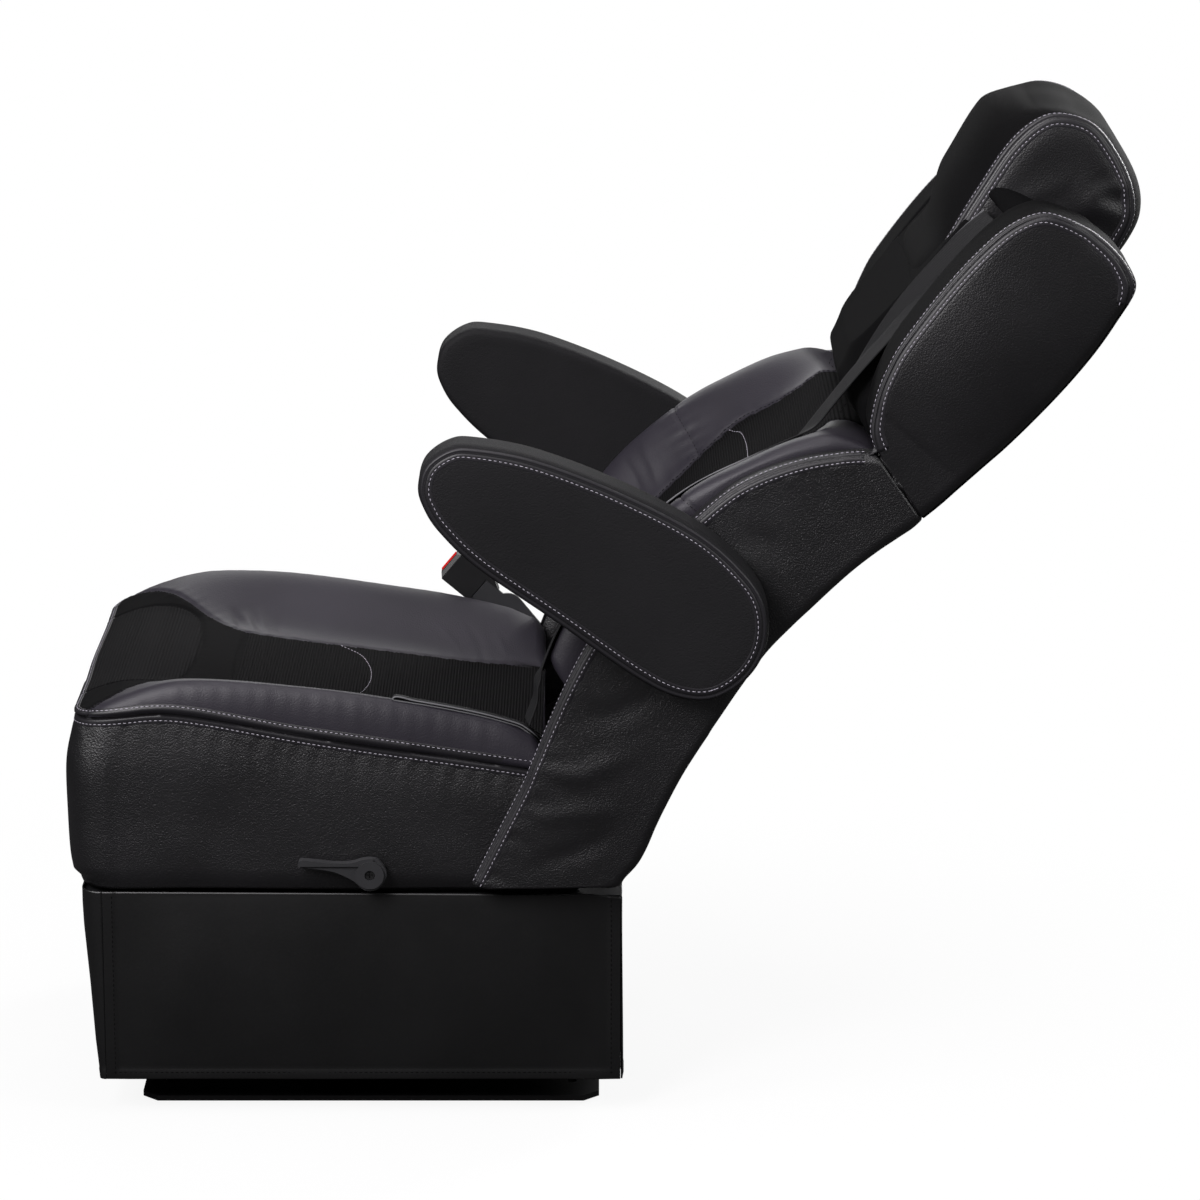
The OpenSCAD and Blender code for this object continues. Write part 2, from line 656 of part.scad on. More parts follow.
module skirt_rear_panel() {
    color([0.1, 0.1, 0.1]) translate([-skirt_x, skirt_rear, skirt_low])
        cube([2 * skirt_x, skirt_t, skirt_top - 6 - skirt_low]);
}

// Backrest curves, [u up the back, v ahead of the axis]

function rear_v(u) = lookup(u, spline([[-60, -52], [-16, -50], [25, -50], [65, -38], [125, -23], [202, -12],
    [286, -2], [340, -5], [426, -15], [502, -33], [553, -43], [608, -50], [702, -52], [783, -48], [833, -40],
    [860, -35]], 3));
function bolster_v(u) = lookup(u, spline([[90, 150], [150, 172], [220, 182], [279, 182], [345, 172],
    [380, 162], [415, 147], [457, 128], [483, 112], [521, 84]], 4));
function middle_v(u) = lookup(u, spline([[90, 118], [180, 128], [264, 127], [340, 122], [385, 112],
    [432, 101], [476, 93], [521, 86]], 4));
function edge_v(u) = lookup(u, spline([[-116, 69], [-44, 88], [13, 102], [70, 121], [110, 134], [163, 147],
    [215, 155], [260, 157], [340, 152], [402, 141], [456, 114], [494, 84], [521, 56]], 3));

lower_bottom = 104;
module back_lower_cushion() {
    top = crease_u - soft_gap;
    shares = [-1, -0.985, -0.95, -0.9, -0.83, -0.75, -0.67, -0.6, -0.4, 0, 0.4, 0.6, 0.67, 0.75, 0.83, 0.9,
        0.95, 0.985, 1];
    stations = concat([for (d = [0, 1.5, 6, 14, 26]) lower_bottom + d],
        [160, 195, 230, 265, 300, 335, 370, 405, 435, 460, 482], [for (d = [26, 14, 6, 1.5, 0]) top - d]);
    w = back_foam_half;
    rings = [for (u = stations)
        let (ends = round_share((u - lower_bottom + 0.8) / 26) * round_share((top + 0.8 - u) / 26))
        concat([for (s = shares)
            let (x = abs(s) * w, rise = smooth_step((x - insert_half + 8) / (0.93 * w - insert_half + 8)),
                high = middle_v(u) + (bolster_v(u) - middle_v(u)) * rise,
                seam = edge_v(u) + 2, v = high + (seam - high) * (1 - round_share((w - x) / 16)))
            [s * w, -(foam_back_v + (v - foam_back_v) * ends), u]],
            [[w, -foam_back_v, u], [-w, -foam_back_v, u]])];
    color([0.12, 0.12, 0.13]) on_back() skin(rings);
}

valley_top = 824;
bridge_u = tower_top + 4;
bridge_v = rear_v(bridge_u) + 0.2;
function upper_v(u) = lookup(u, spline([[crease_u, 108], [556, 116], [598, 129], [657, 137], [738, 141],
    [valley_top, 140]], 3));
function upper_side_v(u) = lookup(u, spline([[crease_u, 84], [556, 88], [598, 92], [657, 95], [720, 88],
    [760, 80], [800, 66], [valley_top, 56]], 3));
module back_upper_cushion() {
    shares = [-1, -0.97, -0.9, -0.8, -0.7, -0.6, -0.5, -0.25, 0, 0.25, 0.5, 0.6, 0.7, 0.8, 0.9, 0.97, 1];
    w = upper_half;
    low = crease_u;
    stations = concat([for (d = [0, 1.5, 6, 14, 26]) low + d], [575, 605, 640, 680, 720, 750, 775],
        [bridge_u, bridge_u + 0.5], [for (d = [12, 5, 1, 0]) valley_top - d]);
    rings = [for (u = stations)
        let (ends = round_share((u - low + 0.8) / 26) * round_share((valley_top + 0.8 - u) / 24),
            back_v = u > bridge_u ? bridge_v : foam_back_v)
        concat([for (s = shares)
            let (x = abs(s) * w, fall = smooth_step((x - 95) / (w - 95)),
                high = upper_v(u) + (upper_side_v(u) - upper_v(u)) * fall,
                v = foam_back_v + (high - foam_back_v) * (0.75 + 0.25 * round_share((w - x) / 12)))
            [s * w, -(foam_back_v + (v - foam_back_v) * ends), u]],
            [[w, -back_v, u], [-w, -back_v, u]])];
    head_room = head_half + head_crown + soft_gap;
    color([0.12, 0.12, 0.13]) on_back() difference() {
        skin(rings);
        translate([-head_room, -200, head_u]) cube([2 * head_room, 300, 200]);
        guide_block(soft_gap);
    }
}

// The side panel's front and rear edges as matching chains of [rearwards, up] points, from the bottom up
panel_front = concat([for (u = [-112, -100, -80, -44, -15, 13, 42, 70, 120, 163, 215, 260, 300, 340, 375,
    402, 430, 456, 476, 494, 510]) [-edge_v(u), u]], [[-52, crease_u - 0.6]]);
panel_back = concat([[-55, -104], [-15, -70], [30, -31], [50, -14]], [for (u = [0, 20, 40, 65, 90, 125,
    160, 202, 240, 286, 325, 355, 385, 415, 445, 470, 488]) [-rear_v(u), u]], [[31, crease_u - 20]]);
panel_inner_x = arm_plate_x;
module back_panel(stud_hole_d) {
    x1 = back_half;
    difference() {
        slab(concat(panel_back, backwards(panel_front)), [[panel_inner_x, 0.6], [panel_inner_x + 3, 0],
            [x1 - 12, 0], [x1 - 7, 1.2], [x1 - 3, 4], [x1 - 0.8, 8], [x1, 12]], ladder = true);
        translate([panel_inner_x - 1, -220, -200]) cube([lobe_x - panel_inner_x + 1, 400, 383]);
        translate([panel_inner_x - 1, -arm_v - 27, arm_u - 27]) cube([8, 130, 54]);
        translate([0, -arm_v, arm_u]) rod_x(panel_inner_x - 1, x1 + 5, arm_bolt_d + 10);
        if (stud_hole_d > 0) rod_x(panel_inner_x - 1, x1 + 5, stud_hole_d);
    }
}
module back_panel_left() { color([0.12, 0.12, 0.13]) on_back() back_panel(0); }
module back_panel_right() { color([0.12, 0.12, 0.13]) on_back() mirror([1, 0, 0]) back_panel(stud_d + 8); }

// A shoulder's front and rear edges as matching chains of [rearwards, up] points, from the bottom up
shoulder_front = [[-51, crease_u + 4], [-63, crease_u + 9], [-74, crease_u + 17], [-84, 553], [-95, 574],
    [-103, 597], [-110, 630], [-114, 700], [-113, 755], [-107, 795], [-92, 825], [-70, 838], [-40, 847]];
shoulder_back = [[32, crease_u - 19], [36, 525], [39, 548], [42, 570], [45, 592], [48, 615], [50.5, 650],
    [52, 700], [51, 750], [47, 790], [40, 828], [22, 842], [-6, 848]];
shoulder_x = upper_half + soft_gap;
module shoulder_pad() {
    x1 = back_half;
    difference() {
        slab(concat(shoulder_back, backwards(shoulder_front)), [[shoulder_x, 7], [shoulder_x + 3, 3],
            [shoulder_x + 11, 0], [x1 - 14, 0], [x1 - 8, 1.5], [x1 - 4, 4], [x1 - 1, 9], [x1, 15]],
            ladder = true);
        translate([shoulder_x - 5, 0.2 - foam_back_v, crease_u - 40])
            cube([arm_plate_x - shoulder_x + 5, 200, tower_top + 4 - crease_u + 40]);
    }
}
module shoulder_left() { color([0.12, 0.12, 0.13]) on_back() shoulder_pad(); }
module shoulder_right() { color([0.12, 0.12, 0.13]) on_back() mirror([1, 0, 0]) shoulder_pad(); }

// Side outline of the headrest as [rearwards, up] points, anticlockwise
head_keys = [[22, 850], [12, 878], [-12, 901], [-47, 917], [-85, 924], [-117, 911], [-133, 889], [-138, 848],
    [-130, 791], [-120, 731], [-113, head_u - 12], [-30, head_u - 30], [24, 730], [30, 800]];
head_crown = 5;
head_swell = 13;
// Extra fullness in the middle of the headrest, q is [rearwards, up]: its front and upper rear stand out
// further than its sides and its top front is rounder
function head_swelling(q, x) = head_swell * max(0, 1 - pow(x / head_half, 2)) * [
    0.7 * smooth_step((q[0] + 50) / 60) * smooth_step((q[1] - 806) / 50)
    - smooth_step((-90 - q[0]) / 40) * smooth_step((q[1] - 770) / 50) * smooth_step((915 - q[1]) / 40),
    -0.9 * smooth_step((-60 - q[0]) / 40) * smooth_step((q[1] - 880) / 35)];
module headrest() {
    w = head_half;
    keys = ring_curve(head_keys, 3);
    half = [[w * 0.45, -7], [w * 0.75, -5], [w - 12, -1.5], [w - 5, 0.5], [w, 5], [w + head_crown * 0.6, 12],
        [w + head_crown, 26]];
    steps = concat([for (h = backwards(half)) [-h[0], h[1]]], [[0, -8]], half);
    color([0.12, 0.12, 0.13]) on_back() difference() {
        skin([for (s = steps) [for (q = shrunk(keys, s[1]))
            let (full = q + head_swelling(q, s[0])) [s[0], full[0], full[1]]]]);
        translate([-w - 20, -foam_back_v, 600]) cube([2 * w + 40, 200, tower_top + 4 - 600]);
        translate([-w - 20, -250, 600]) cube([2 * w + 40, 400, head_u + soft_gap - 600]);
        translate([-76, -28, 700]) cube([152, 12, 184]);
    }
}

// Backrest structure

upright_low = 62;
module frame_upright(top) {
    color("gray") on_back() translate([upright_x, -upright_v, upright_low])
        cylinder(d = upright_d, h = top - upright_low);
}
module frame_upright_left() { frame_upright(tower_top); }
module frame_upright_right() { mirror([1, 0, 0]) frame_upright(720); }
cross_us = [125, 560, 705];
module frame_crossbars() {
    half = upright_x - upright_d / 2 - 0.2;
    color("gray") on_back() for (u = cross_us) translate([0, -upright_v, u]) rod_x(-half, half, 20);
}
module headrest_plate() {
    color("gray") on_back() difference() {
        union() {
            translate([-74, -24, 715.2]) cube([148, 4, 166]);
            translate([-74, -32, 715.2]) cube([148, 20, 4]);
        }
        for (x = [-38, 38]) translate([x, 0, 800]) rotate([90, 0, 0]) cylinder(d = 44, h = 60);
    }
}
module recliner_arm() {
    reach = 170;
    difference() {
        union() {
            rod_x(disc_x + disc_half_t + disc_gap, arm_plate_x + 1, disc_d - 2);
            plate_x(arm_plate_x, side_plate_t) {
                circle(d = disc_d);
                translate([-upright_v - 14, 0]) square([30, reach]);
                polygon([[-20, 0], [20, 0], [20, 24], [-upright_v + 10, 110], [-20, 110]]);
            }
        }
        rod_x(disc_x, arm_plate_x + side_plate_t + 1, hub_d + 2 * run_gap);
    }
}
module recliner_arm_left() { color("gray") on_back() recliner_arm(); }
module recliner_arm_right() { color("gray") on_back() mirror([1, 0, 0]) recliner_arm(); }

cover_t = 3.5;
// Strip along the rear contour between the given heights
module cover_profile(us) {
    polygon(concat([for (u = us) [-rear_v(u), u]], [for (u = backwards(us)) [-rear_v(u) - cover_t, u]]));
}
module back_cover() {
    low = [-14, 4, 25, 45, 65, 95, 125, 152, 182];
    high = [152, 182, 202, 245, 286, 340, 380, 426, 465, 502, 553, 608, 655, 702, 750, tower_top];
    color([0.1, 0.1, 0.1]) on_back() {
        plate_x(soft_gap - lobe_x, 2 * (lobe_x - soft_gap)) cover_profile(low);
        plate_x(-back_foam_half, 2 * back_foam_half) cover_profile(high);
    }
}

// Belt

guide_x = 163;
guide_u = 775;
module guide_block(grow) {
    translate([guide_x - 29 - grow, -96 - grow, guide_u - 8 - grow])
        cube([58 + 2 * grow, 34 + 2 * grow, 26 + grow]);
}
module belt_guide() {
    color([0.05, 0.05, 0.05]) on_back() difference() {
        guide_block(0);
        translate([guide_x - web_w / 2 - 1, -97, guide_u + 1]) cube([web_w + 2, 36, 8]);
        translate([guide_x - web_w / 2 - 1, -97, guide_u - 9]) cube([web_w + 2, 13, 18]);
    }
}
module belt_retractor() {
    cheek = 3;
    spool_u = 632;
    color("dimgray") on_back() {
        translate([guide_x - 30, -upright_v - 13.2, cross_us[1] - 8])
            cube([60, 3, cross_us[2] - cross_us[1] + 16]);
        for (x = [guide_x - 30, guide_x + 30 - cheek])
            translate([x, -upright_v - 11, spool_u - 32]) cube([cheek, 62, 64]);
        translate([0, 8, spool_u]) rod_x(guide_x - 28, guide_x + 28, 46);
    }
}
// Front of the cushions ahead of the axis at a place on the back
function back_surface(x, u) =
    let (a = abs(x), r = smooth_step((a - insert_half + 8) / (0.93 * back_foam_half - insert_half + 8)),
        f = smooth_step((a - 95) / (upper_half - 95)))
    u < lower_bottom ? 0 : u < crease_u ? middle_v(u) + (bolster_v(u) - middle_v(u)) * r
        : upper_v(u) + (upper_side_v(u) - upper_v(u)) * f;
belt_lift = 3;
// Stations of the shoulder belt as [x, freely hanging distance ahead of the axis, up the back]
shoulder_run = [[163, 88, 779.5], [163, 97, 745], [164, 106, 700], [165, 110, 640], [167, 112, 580],
    [171, 112, 530], [177, 110, 485], [184, 108, 435], [194, 100, 380], [201, 100, 330], [206, 100, 280],
    [211, 100, 230], [216, 100, 180], [220, 100, 140], [223, 158, 106], [225, 147, 80], [227, 138, 56]];
module shoulder_belt() {
    shares = [-21, -10, 0, 10, 21];
    rings = [for (q = shoulder_run)
        let (inner = [for (e = shares)
            [q[0] + e, -max(q[1] - 0.25 * abs(e), back_surface(q[0] + e, q[2]) + belt_lift), q[2]]])
        backwards(concat(inner, [for (c = backwards(inner)) c - [0, web_t, 0]]))];
    color([0.06, 0.06, 0.07]) on_back() skin(rings, ladder = true);
}
tongue_u = 230;
tongue_t = 3;
module belt_tongue() {
    x = 211;
    lean = atan((back_surface(x + 15, tongue_u) - back_surface(x - 15, tongue_u)) / 30);
    color("silver") on_back()
        translate([x, -back_surface(x, tongue_u) - belt_lift - web_t - 0.6 - tongue_t, tongue_u])
        rotate([0, 0, -lean]) difference() {
            union() {
                translate([-31, 0, -18]) cube([62, tongue_t, 36]);
                translate([-12, 0, -52]) cube([24, tongue_t, 36]);
            }
            translate([-25, -1, 2]) cube([50, tongue_t + 2, 7]);
            translate([-7, -1, -44]) cube([14, tongue_t + 2, 10]);
        }
}
// Belt lying on the near bolster in two layers and going down behind the cushion.
// Each station is [y, z or 0 to follow the cushion, lean of its outer side, half width, middle in x]
lap_x = 228;
anchor_y = cushion_rear + 13;
lap_rest = 1.5;
lap_run = concat([for (y = [34 : 12 : 166]) [y, 0, 0, web_w / 2, lap_x]],
    [[178, 0, 25, web_w / 2, lap_x], [cushion_rear + 1, 409, 60, web_w / 2 - 3, lap_x - 2],
    [cushion_rear + 4, 380, 90, web_w / 2 - 7, lap_x - 5], [anchor_y - 4, 336, 90, 11, lap_x - 15.5],
    [anchor_y - 4, 268, 90, 11, lap_x - 15.5]]);
module lap_belt() {
    shares = [-1, -0.5, 0, 0.5, 1];
    rings = [for (q = lap_run)
        let (inner = [for (e = shares) let (x = q[4] + e * q[3])
                [x, q[0], q[1] > 0 ? q[1] : cushion_top(x, q[0]) + lap_rest]],
            thick = [0, 2.1 * web_t * sin(q[2]), 2.1 * web_t * cos(q[2])])
        concat(backwards(inner), [for (c = inner) c + thick])];
    color([0.06, 0.06, 0.07]) skin(rings, ladder = true);
}
module belt_anchor() {
    color("silver") translate([lap_x - 30, anchor_y, pan_top]) difference() {
        cube([29, 4, 58]);
        translate([3, -1, 44]) cube([23, 6, 7]);
    }
}

// Buckle

buckle_at = [100, 462];
buckle_rise = 40;
buckle_mid_x = stalk_x + stalk_t + buckle_t / 2 - 4.5;
module on_buckle() {
    translate([-buckle_mid_x, buckle_at[0], buckle_at[1]]) rotate([-buckle_rise, 0, 0]) children();
}
stalk_w = 42;
tang_w = 26;
module buckle_stalk() {
    knee = buckle_at + (buckle_len / 2 + stalk_w / 2 + 1) * [cos(buckle_rise), -sin(buckle_rise)];
    leg = knee - [pivot_y, pivot_z];
    color([0.06, 0.06, 0.06]) mirror([1, 0, 0]) plate_x(stalk_x, stalk_t) difference() {
        union() {
            translate([pivot_y, pivot_z]) circle(d = stalk_w);
            translate(knee) circle(d = stalk_w);
            translate([pivot_y, pivot_z]) rotate(atan2(leg[1], leg[0])) translate([0, -stalk_w / 2])
                square([norm(leg), stalk_w]);
            translate(knee) rotate(180 - buckle_rise) translate([0, -tang_w / 2])
                square([stalk_w / 2 + 21, tang_w]);
        }
        translate([pivot_y, pivot_z]) circle(d = stud_d + 2 * run_gap);
    }
}
module buckle_housing() {
    l = buckle_len;
    w = buckle_w;
    t = buckle_t;
    r = 5;
    color([0.05, 0.05, 0.06]) on_buckle() difference() {
        intersection() {
            translate([-t / 2, 0, 0]) rotate([90, 0, 90]) linear_extrude(t) polygon([
                [-l / 2, -w / 2 + r], [-l / 2 + r, -w / 2], [l / 2 - 12, -w / 2], [l / 2, -w / 2 + 7],
                [l / 2, w / 2 - 7], [l / 2 - 12, w / 2], [-l / 2 + r, w / 2], [-l / 2, w / 2 - r]]);
            translate([0, 0, -w / 2]) linear_extrude(w) polygon([
                [-t / 2 + 3, -l / 2], [t / 2 - 3, -l / 2], [t / 2, -l / 2 + 4], [t / 2, l / 2 - 4],
                [t / 2 - 4, l / 2], [-t / 2 + 4, l / 2], [-t / 2, l / 2 - 4], [-t / 2, -l / 2 + 4]]);
        }
        translate([-3, -l / 2 - 1, -13]) cube([5, 31, 26]);
        translate([-8.4, -l / 2 - 1, -13]) cube([6, 15, 26]);
        translate([t / 2 - 5, l / 2 - 21, -tang_w / 2 - 0.3]) cube([10, 40, tang_w + 0.6]);
    }
}
module buckle_button() {
    l = buckle_len;
    color("red") on_buckle() translate([-8.2, -l / 2 - 1, -12.8]) cube([4.9, 9, 25.6]);
}

// Armrests

// Side outline of an arm as [y, z] points, anticlockwise
arm_keys = [[372, 489], [407, 512], [426, 549], [424, 593], [399, 631], [351, 672], [267, 716],
    [183, 748], [120, 760], [94, 758], [70, 741], [62, 716], [67, 694], [84, 667], [125, 627], [209, 568],
    [290, 511], [334, 490]];
arm_now = back_point(arm_v, arm_u);
core_t = 6;
core_x = arm_x + 12;
module arm_pad() {
    o = ring_curve(arm_keys, 2);
    x0 = arm_x;
    difference() {
        slab(o, pad_steps(x0, x0 + arm_t, 15, 3), true);
        translate([0, arm_now[0], arm_now[1]]) {
            rod_x(x0 - 5, core_x, arm_bolt_d + 14);
            rod_x(core_x - 1, core_x + core_t + 9, arm_bolt_d + 16);
        }
        plate_x(core_x - soft_gap, core_t + 2 * soft_gap) arm_core_shape(soft_gap);
    }
}
module arm_core_shape(grow) {
    a = arm_now;
    translate(a) circle(r = 34 + grow);
    polygon([[a[0] - 30, a[1] + 34 + grow], [a[0] - 215 - grow, 740 + grow], [a[0] - 240 - grow, 728],
        [a[0] - 235, 705 - grow], [a[0] - 34 - grow, a[1] - 30 - grow], a]);
}
module arm_core() {
    plate_x(core_x, core_t) difference() {
        arm_core_shape(0);
        translate(arm_now) circle(d = arm_bolt_d + 2 * run_gap);
    }
}
module arm_core_left() { color("gray") arm_core(); }
module arm_core_right() { color("gray") mirror([1, 0, 0]) arm_core(); }
module arm_pad_left() { color([0.12, 0.12, 0.13]) arm_pad(); }
module arm_pad_right() { color([0.12, 0.12, 0.13]) mirror([1, 0, 0]) arm_pad(); }
mount_x = arm_plate_x - 0.1;
module arm_mounts() {
    color("gray") both_sides() on_back() difference() {
        translate([mount_x, -arm_v - 26, arm_u - 26]) cube([6, 26 + arm_v - upright_v + 13, 52]);
        translate([0, -arm_v, arm_u]) rod_x(mount_x - 1, mount_x + 7, arm_bolt_d);
    }
}
module arm_pivot_bolts() {
    color("silver") both_sides() on_back() translate([0, -arm_v, arm_u]) {
        rod_x(mount_x, core_x + core_t + 1, arm_bolt_d);
        rod_x(mount_x + 6.1, core_x - 0.3, arm_bolt_d + 8);
        rod_x(core_x + core_t + 0.3, core_x + core_t + 8, arm_bolt_d + 10);
    }
}

floor_plate();
pedestal_column();
swivel_lower_plate();
swivel_bearing();
swivel_pivot_bolt();
swivel_upper_plate();
slide_rail_lower_left();
slide_rail_lower_right();
slide_rail_upper_left();
slide_rail_upper_right();
slide_lever();
seat_risers();
seat_pan();
skirt_rail();
seat_side_plate_left();
seat_side_plate_right();
recliner_disc_left();
recliner_disc_right();
seat_cushion();
seat_panel_left();
seat_panel_right();
seat_panel_front();
skirt_left();
skirt_right();
skirt_front_panel();
skirt_rear_panel();
lap_belt();
belt_anchor();
recline_lever();
lever_screw();
lever_spindle();
recline_link();
release_shaft();
buckle_stalk();
buckle_housing();
buckle_button();
recliner_arm_left();
recliner_arm_right();
frame_upright_left();
frame_upright_right();
frame_crossbars();
headrest_plate();
back_cover();
back_lower_cushion();
back_upper_cushion();
back_panel_left();
back_panel_right();
shoulder_left();
shoulder_right();
headrest();
belt_guide();
belt_retractor();
shoulder_belt();
belt_tongue();
arm_mounts();
arm_pivot_bolts();
arm_core_left();
arm_pad_left();
arm_core_right();
arm_pad_right();
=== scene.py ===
import json
import math

import bmesh
import bpy
import numpy as np
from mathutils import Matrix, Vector
from mathutils.bvhtree import BVHTree


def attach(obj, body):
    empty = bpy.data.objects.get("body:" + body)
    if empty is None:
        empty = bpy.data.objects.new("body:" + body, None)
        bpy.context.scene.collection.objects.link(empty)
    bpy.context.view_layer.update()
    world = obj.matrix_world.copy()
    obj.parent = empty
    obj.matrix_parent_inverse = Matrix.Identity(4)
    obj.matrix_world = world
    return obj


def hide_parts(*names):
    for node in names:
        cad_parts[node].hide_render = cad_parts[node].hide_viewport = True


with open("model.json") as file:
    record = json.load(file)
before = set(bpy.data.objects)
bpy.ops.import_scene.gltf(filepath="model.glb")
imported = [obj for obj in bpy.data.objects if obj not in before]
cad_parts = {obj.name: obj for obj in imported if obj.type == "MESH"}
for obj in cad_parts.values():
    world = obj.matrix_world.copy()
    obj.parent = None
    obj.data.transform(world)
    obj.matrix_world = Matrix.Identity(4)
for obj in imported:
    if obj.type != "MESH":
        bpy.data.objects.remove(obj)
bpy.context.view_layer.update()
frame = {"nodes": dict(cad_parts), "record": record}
mm = 0.001  # lengths below are in mm until they go into a mesh
print("frame loaded")


def smoothCurve(keys, steps=6, closed=False):  # passes through every key point
    p = np.array(keys, float)
    n = len(p)
    out = []
    for i in range(n if closed else n - 1):
        a, b, c, d = (p[j % n if closed else min(max(j, 0), n - 1)] for j in range(i - 1, i + 3))
        for t in np.arange(steps) / steps:
            out.append(0.5 * (2 * b + (c - a) * t + (2 * a - 5 * b + 4 * c - d) * t * t
                              + (3 * b - a - 3 * c + d) * t ** 3))
    return np.array(out if closed else out + [p[-1]])


def mirrored(keys):  # keys that end in the middle, and their other side
    return keys + [(-x, y) for x, y in keys[-2::-1]]


def curveFn(keys):
    x, y = smoothCurve(keys, 8).T
    return lambda t: np.interp(t, x, y)


def smoothStep(t):
    t = np.clip(t, 0, 1)
    return t * t * (3 - 2 * t)


def roundShare(t):  # a quarter circle from 0 to 1
    t = np.clip(t, 0, 1)
    return np.sqrt(np.maximum(1 - (1 - t) ** 2, 0))


def runAlong(points):  # distance covered up to each point of a path
    return np.concatenate([[0], np.cumsum(np.linalg.norm(np.diff(points, axis=0), axis=1))])


def evenly(path, pitch=3.0):  # same path with points at an even pitch
    p = np.array(path, float)
    at = runAlong(p)
    t = np.linspace(0, at[-1], max(int(at[-1] / pitch), 2) + 1)
    return np.stack([np.interp(t, at, q) for q in p.T], -1)


def unit(vectors):
    return vectors / (np.linalg.norm(vectors, axis=-1)[..., None] + 1e-12)


def pathDistance(points, path):  # distance to a path, the place along it and its length
    p = np.asarray(points, float)
    best, place, run = np.full(len(p), 1e9), np.zeros(len(p)), 0.0
    for a, b in zip(path[:-1], path[1:]):
        step = b - a
        size = math.sqrt(float(step @ step)) + 1e-9
        t = np.clip((p - a) @ step / size ** 2, 0, 1)
        d = np.linalg.norm(p - a - t[:, None] * step, axis=1)
        place = np.where(d < best, run + t * size, place)
        best = np.minimum(d, best)
        run += size
    return best, place, run


def gathers(d, place, pitch, height, reach):  # small puckers that start at a seam
    wave = np.sin(2 * math.pi * place / pitch) + 0.6 * np.sin(2 * math.pi * place / (pitch * 1.73) + 1.3)
    return height * wave * np.exp(-d / reach) * np.minimum(d / 3, 1)


def sewn(points, path, depth, width, pitch=17, height=0.0, reach=7):  # a seam pressed into the padding
    d, place, _ = pathDistance(points, path)
    return gathers(d, place, pitch, height, reach) - depth * np.exp(-(d / width) ** 2)


def swells(x, y, height, size, seed=0.0):  # slow unevenness of soft padding
    a = np.sin(x / size + 1.7 * np.sin(y / (1.9 * size) + seed))
    b = np.sin(y / (0.8 * size) + 1.3 * np.sin(x / (1.4 * size) + 2.1 + seed))
    return height * (a + b) / 2


def folds(points, paths, width):  # creases with soft ends, each a height and the points it runs through
    total = 0
    for height, *path in paths:
        d, place, run = pathDistance(points, np.array(path, float))
        soft = np.sin(math.pi * np.clip(place / run, 0.02, 0.98))
        total = total + height * soft * np.exp(-(d / width) ** 2)
    return total


lean = math.radians(40.5)  # of the back, in the photograph's pose
pivotY, pivotZ = 240.0, 306.0  # the recline axis
frontDir = np.array([0, -math.cos(lean), math.sin(lean)])
upDir = np.array([0, math.sin(lean), math.cos(lean)])


def onBack(x, ahead, up):  # a point given ahead of the recline axis and up along the back
    x, ahead, up = np.broadcast_arrays(np.asarray(x, float), ahead, up)
    return np.stack([x, pivotY + up * math.sin(lean) - ahead * math.cos(lean),
                     pivotZ + up * math.cos(lean) + ahead * math.sin(lean)], -1)


def onFront(co):  # the way back, to x, ahead and up
    q = co - (0, pivotY, pivotZ)
    return co[:, 0], q @ frontDir, q @ upDir


# shader trees are written as arithmetic on their sockets
class Wire:
    def __init__(self, graph, socket):
        self.graph, self.socket = graph, socket

    def calc(self, operation, *values):
        return self.graph.add("ShaderNodeMath", {"operation": operation}, dict(enumerate(values)))

    def __add__(self, other):
        return self.calc("ADD", self, other)

    def __sub__(self, other):
        return self.calc("SUBTRACT", self, other)

    def __rsub__(self, other):
        return self.calc("SUBTRACT", other, self)

    def __mul__(self, other):
        return self.calc("MULTIPLY", self, other)

    __radd__, __rmul__ = __add__, __mul__

    def sine(self):
        return self.calc("SINE", self)

    def size(self):
        return self.calc("ABSOLUTE", self)

    def least(self, other):
        return self.calc("MINIMUM", self, other)

    def most(self, other):
        return self.calc("MAXIMUM", self, other)


class Graph:
    def __init__(self, name):
        self.material = bpy.data.materials.new(name)
        self.material.use_nodes = True
        self.tree = self.material.node_tree
        self.tree.nodes.clear()

    def add(self, kind, settings=(), inputs=(), out=0):
        node = self.tree.nodes.new(kind)
        for key, value in dict(settings).items():
            setattr(node, key, value)
        for key, value in dict(inputs).items():
            if isinstance(value, Wire):
                self.tree.links.new(value.socket, node.inputs[key])
            else:
                node.inputs[key].default_value = value
        return None if out is None else Wire(self, node.outputs[out])

    def place(self):
        return self.add("ShaderNodeTexCoord", out="Object")

    def noise(self, vector, scale, detail=3.0, rough=0.55):
        return self.add("ShaderNodeTexNoise", {"noise_dimensions": "3D"},
                        {"Vector": vector, "Scale": scale, "Detail": detail, "Roughness": rough}, "Fac")

    def cells(self, vector, scale):
        return self.add("ShaderNodeTexVoronoi", {"feature": "F1"}, {"Vector": vector, "Scale": scale},
                        "Distance")

    def mask(self, name):
        return self.add("ShaderNodeAttribute", {"attribute_name": name}, out="Fac")

    def mix(self, factor, *colours):
        first, second = (c + (1,) if isinstance(c, tuple) else c for c in colours)
        return self.add("ShaderNodeMix", {"data_type": "RGBA"}, {0: factor, 6: first, 7: second}, 2)

    def blend(self, factor, first, second):
        return self.add("ShaderNodeMixShader", inputs={0: factor, 1: first, 2: second})

    def shade(self, colour, rough, height, depth, **plain):
        bump = self.add("ShaderNodeBump", inputs={"Strength": 1.0, "Distance": depth, "Height": height})
        inputs = {"Base Color": colour, "Roughness": rough, "Normal": bump}
        inputs.update({key.replace("_", " "): value for key, value in plain.items()})
        return self.add("ShaderNodeBsdfPrincipled", inputs=inputs)

    def close(self, shader):
        self.add("ShaderNodeOutputMaterial", inputs={"Surface": shader}, out=None)
        return self.material


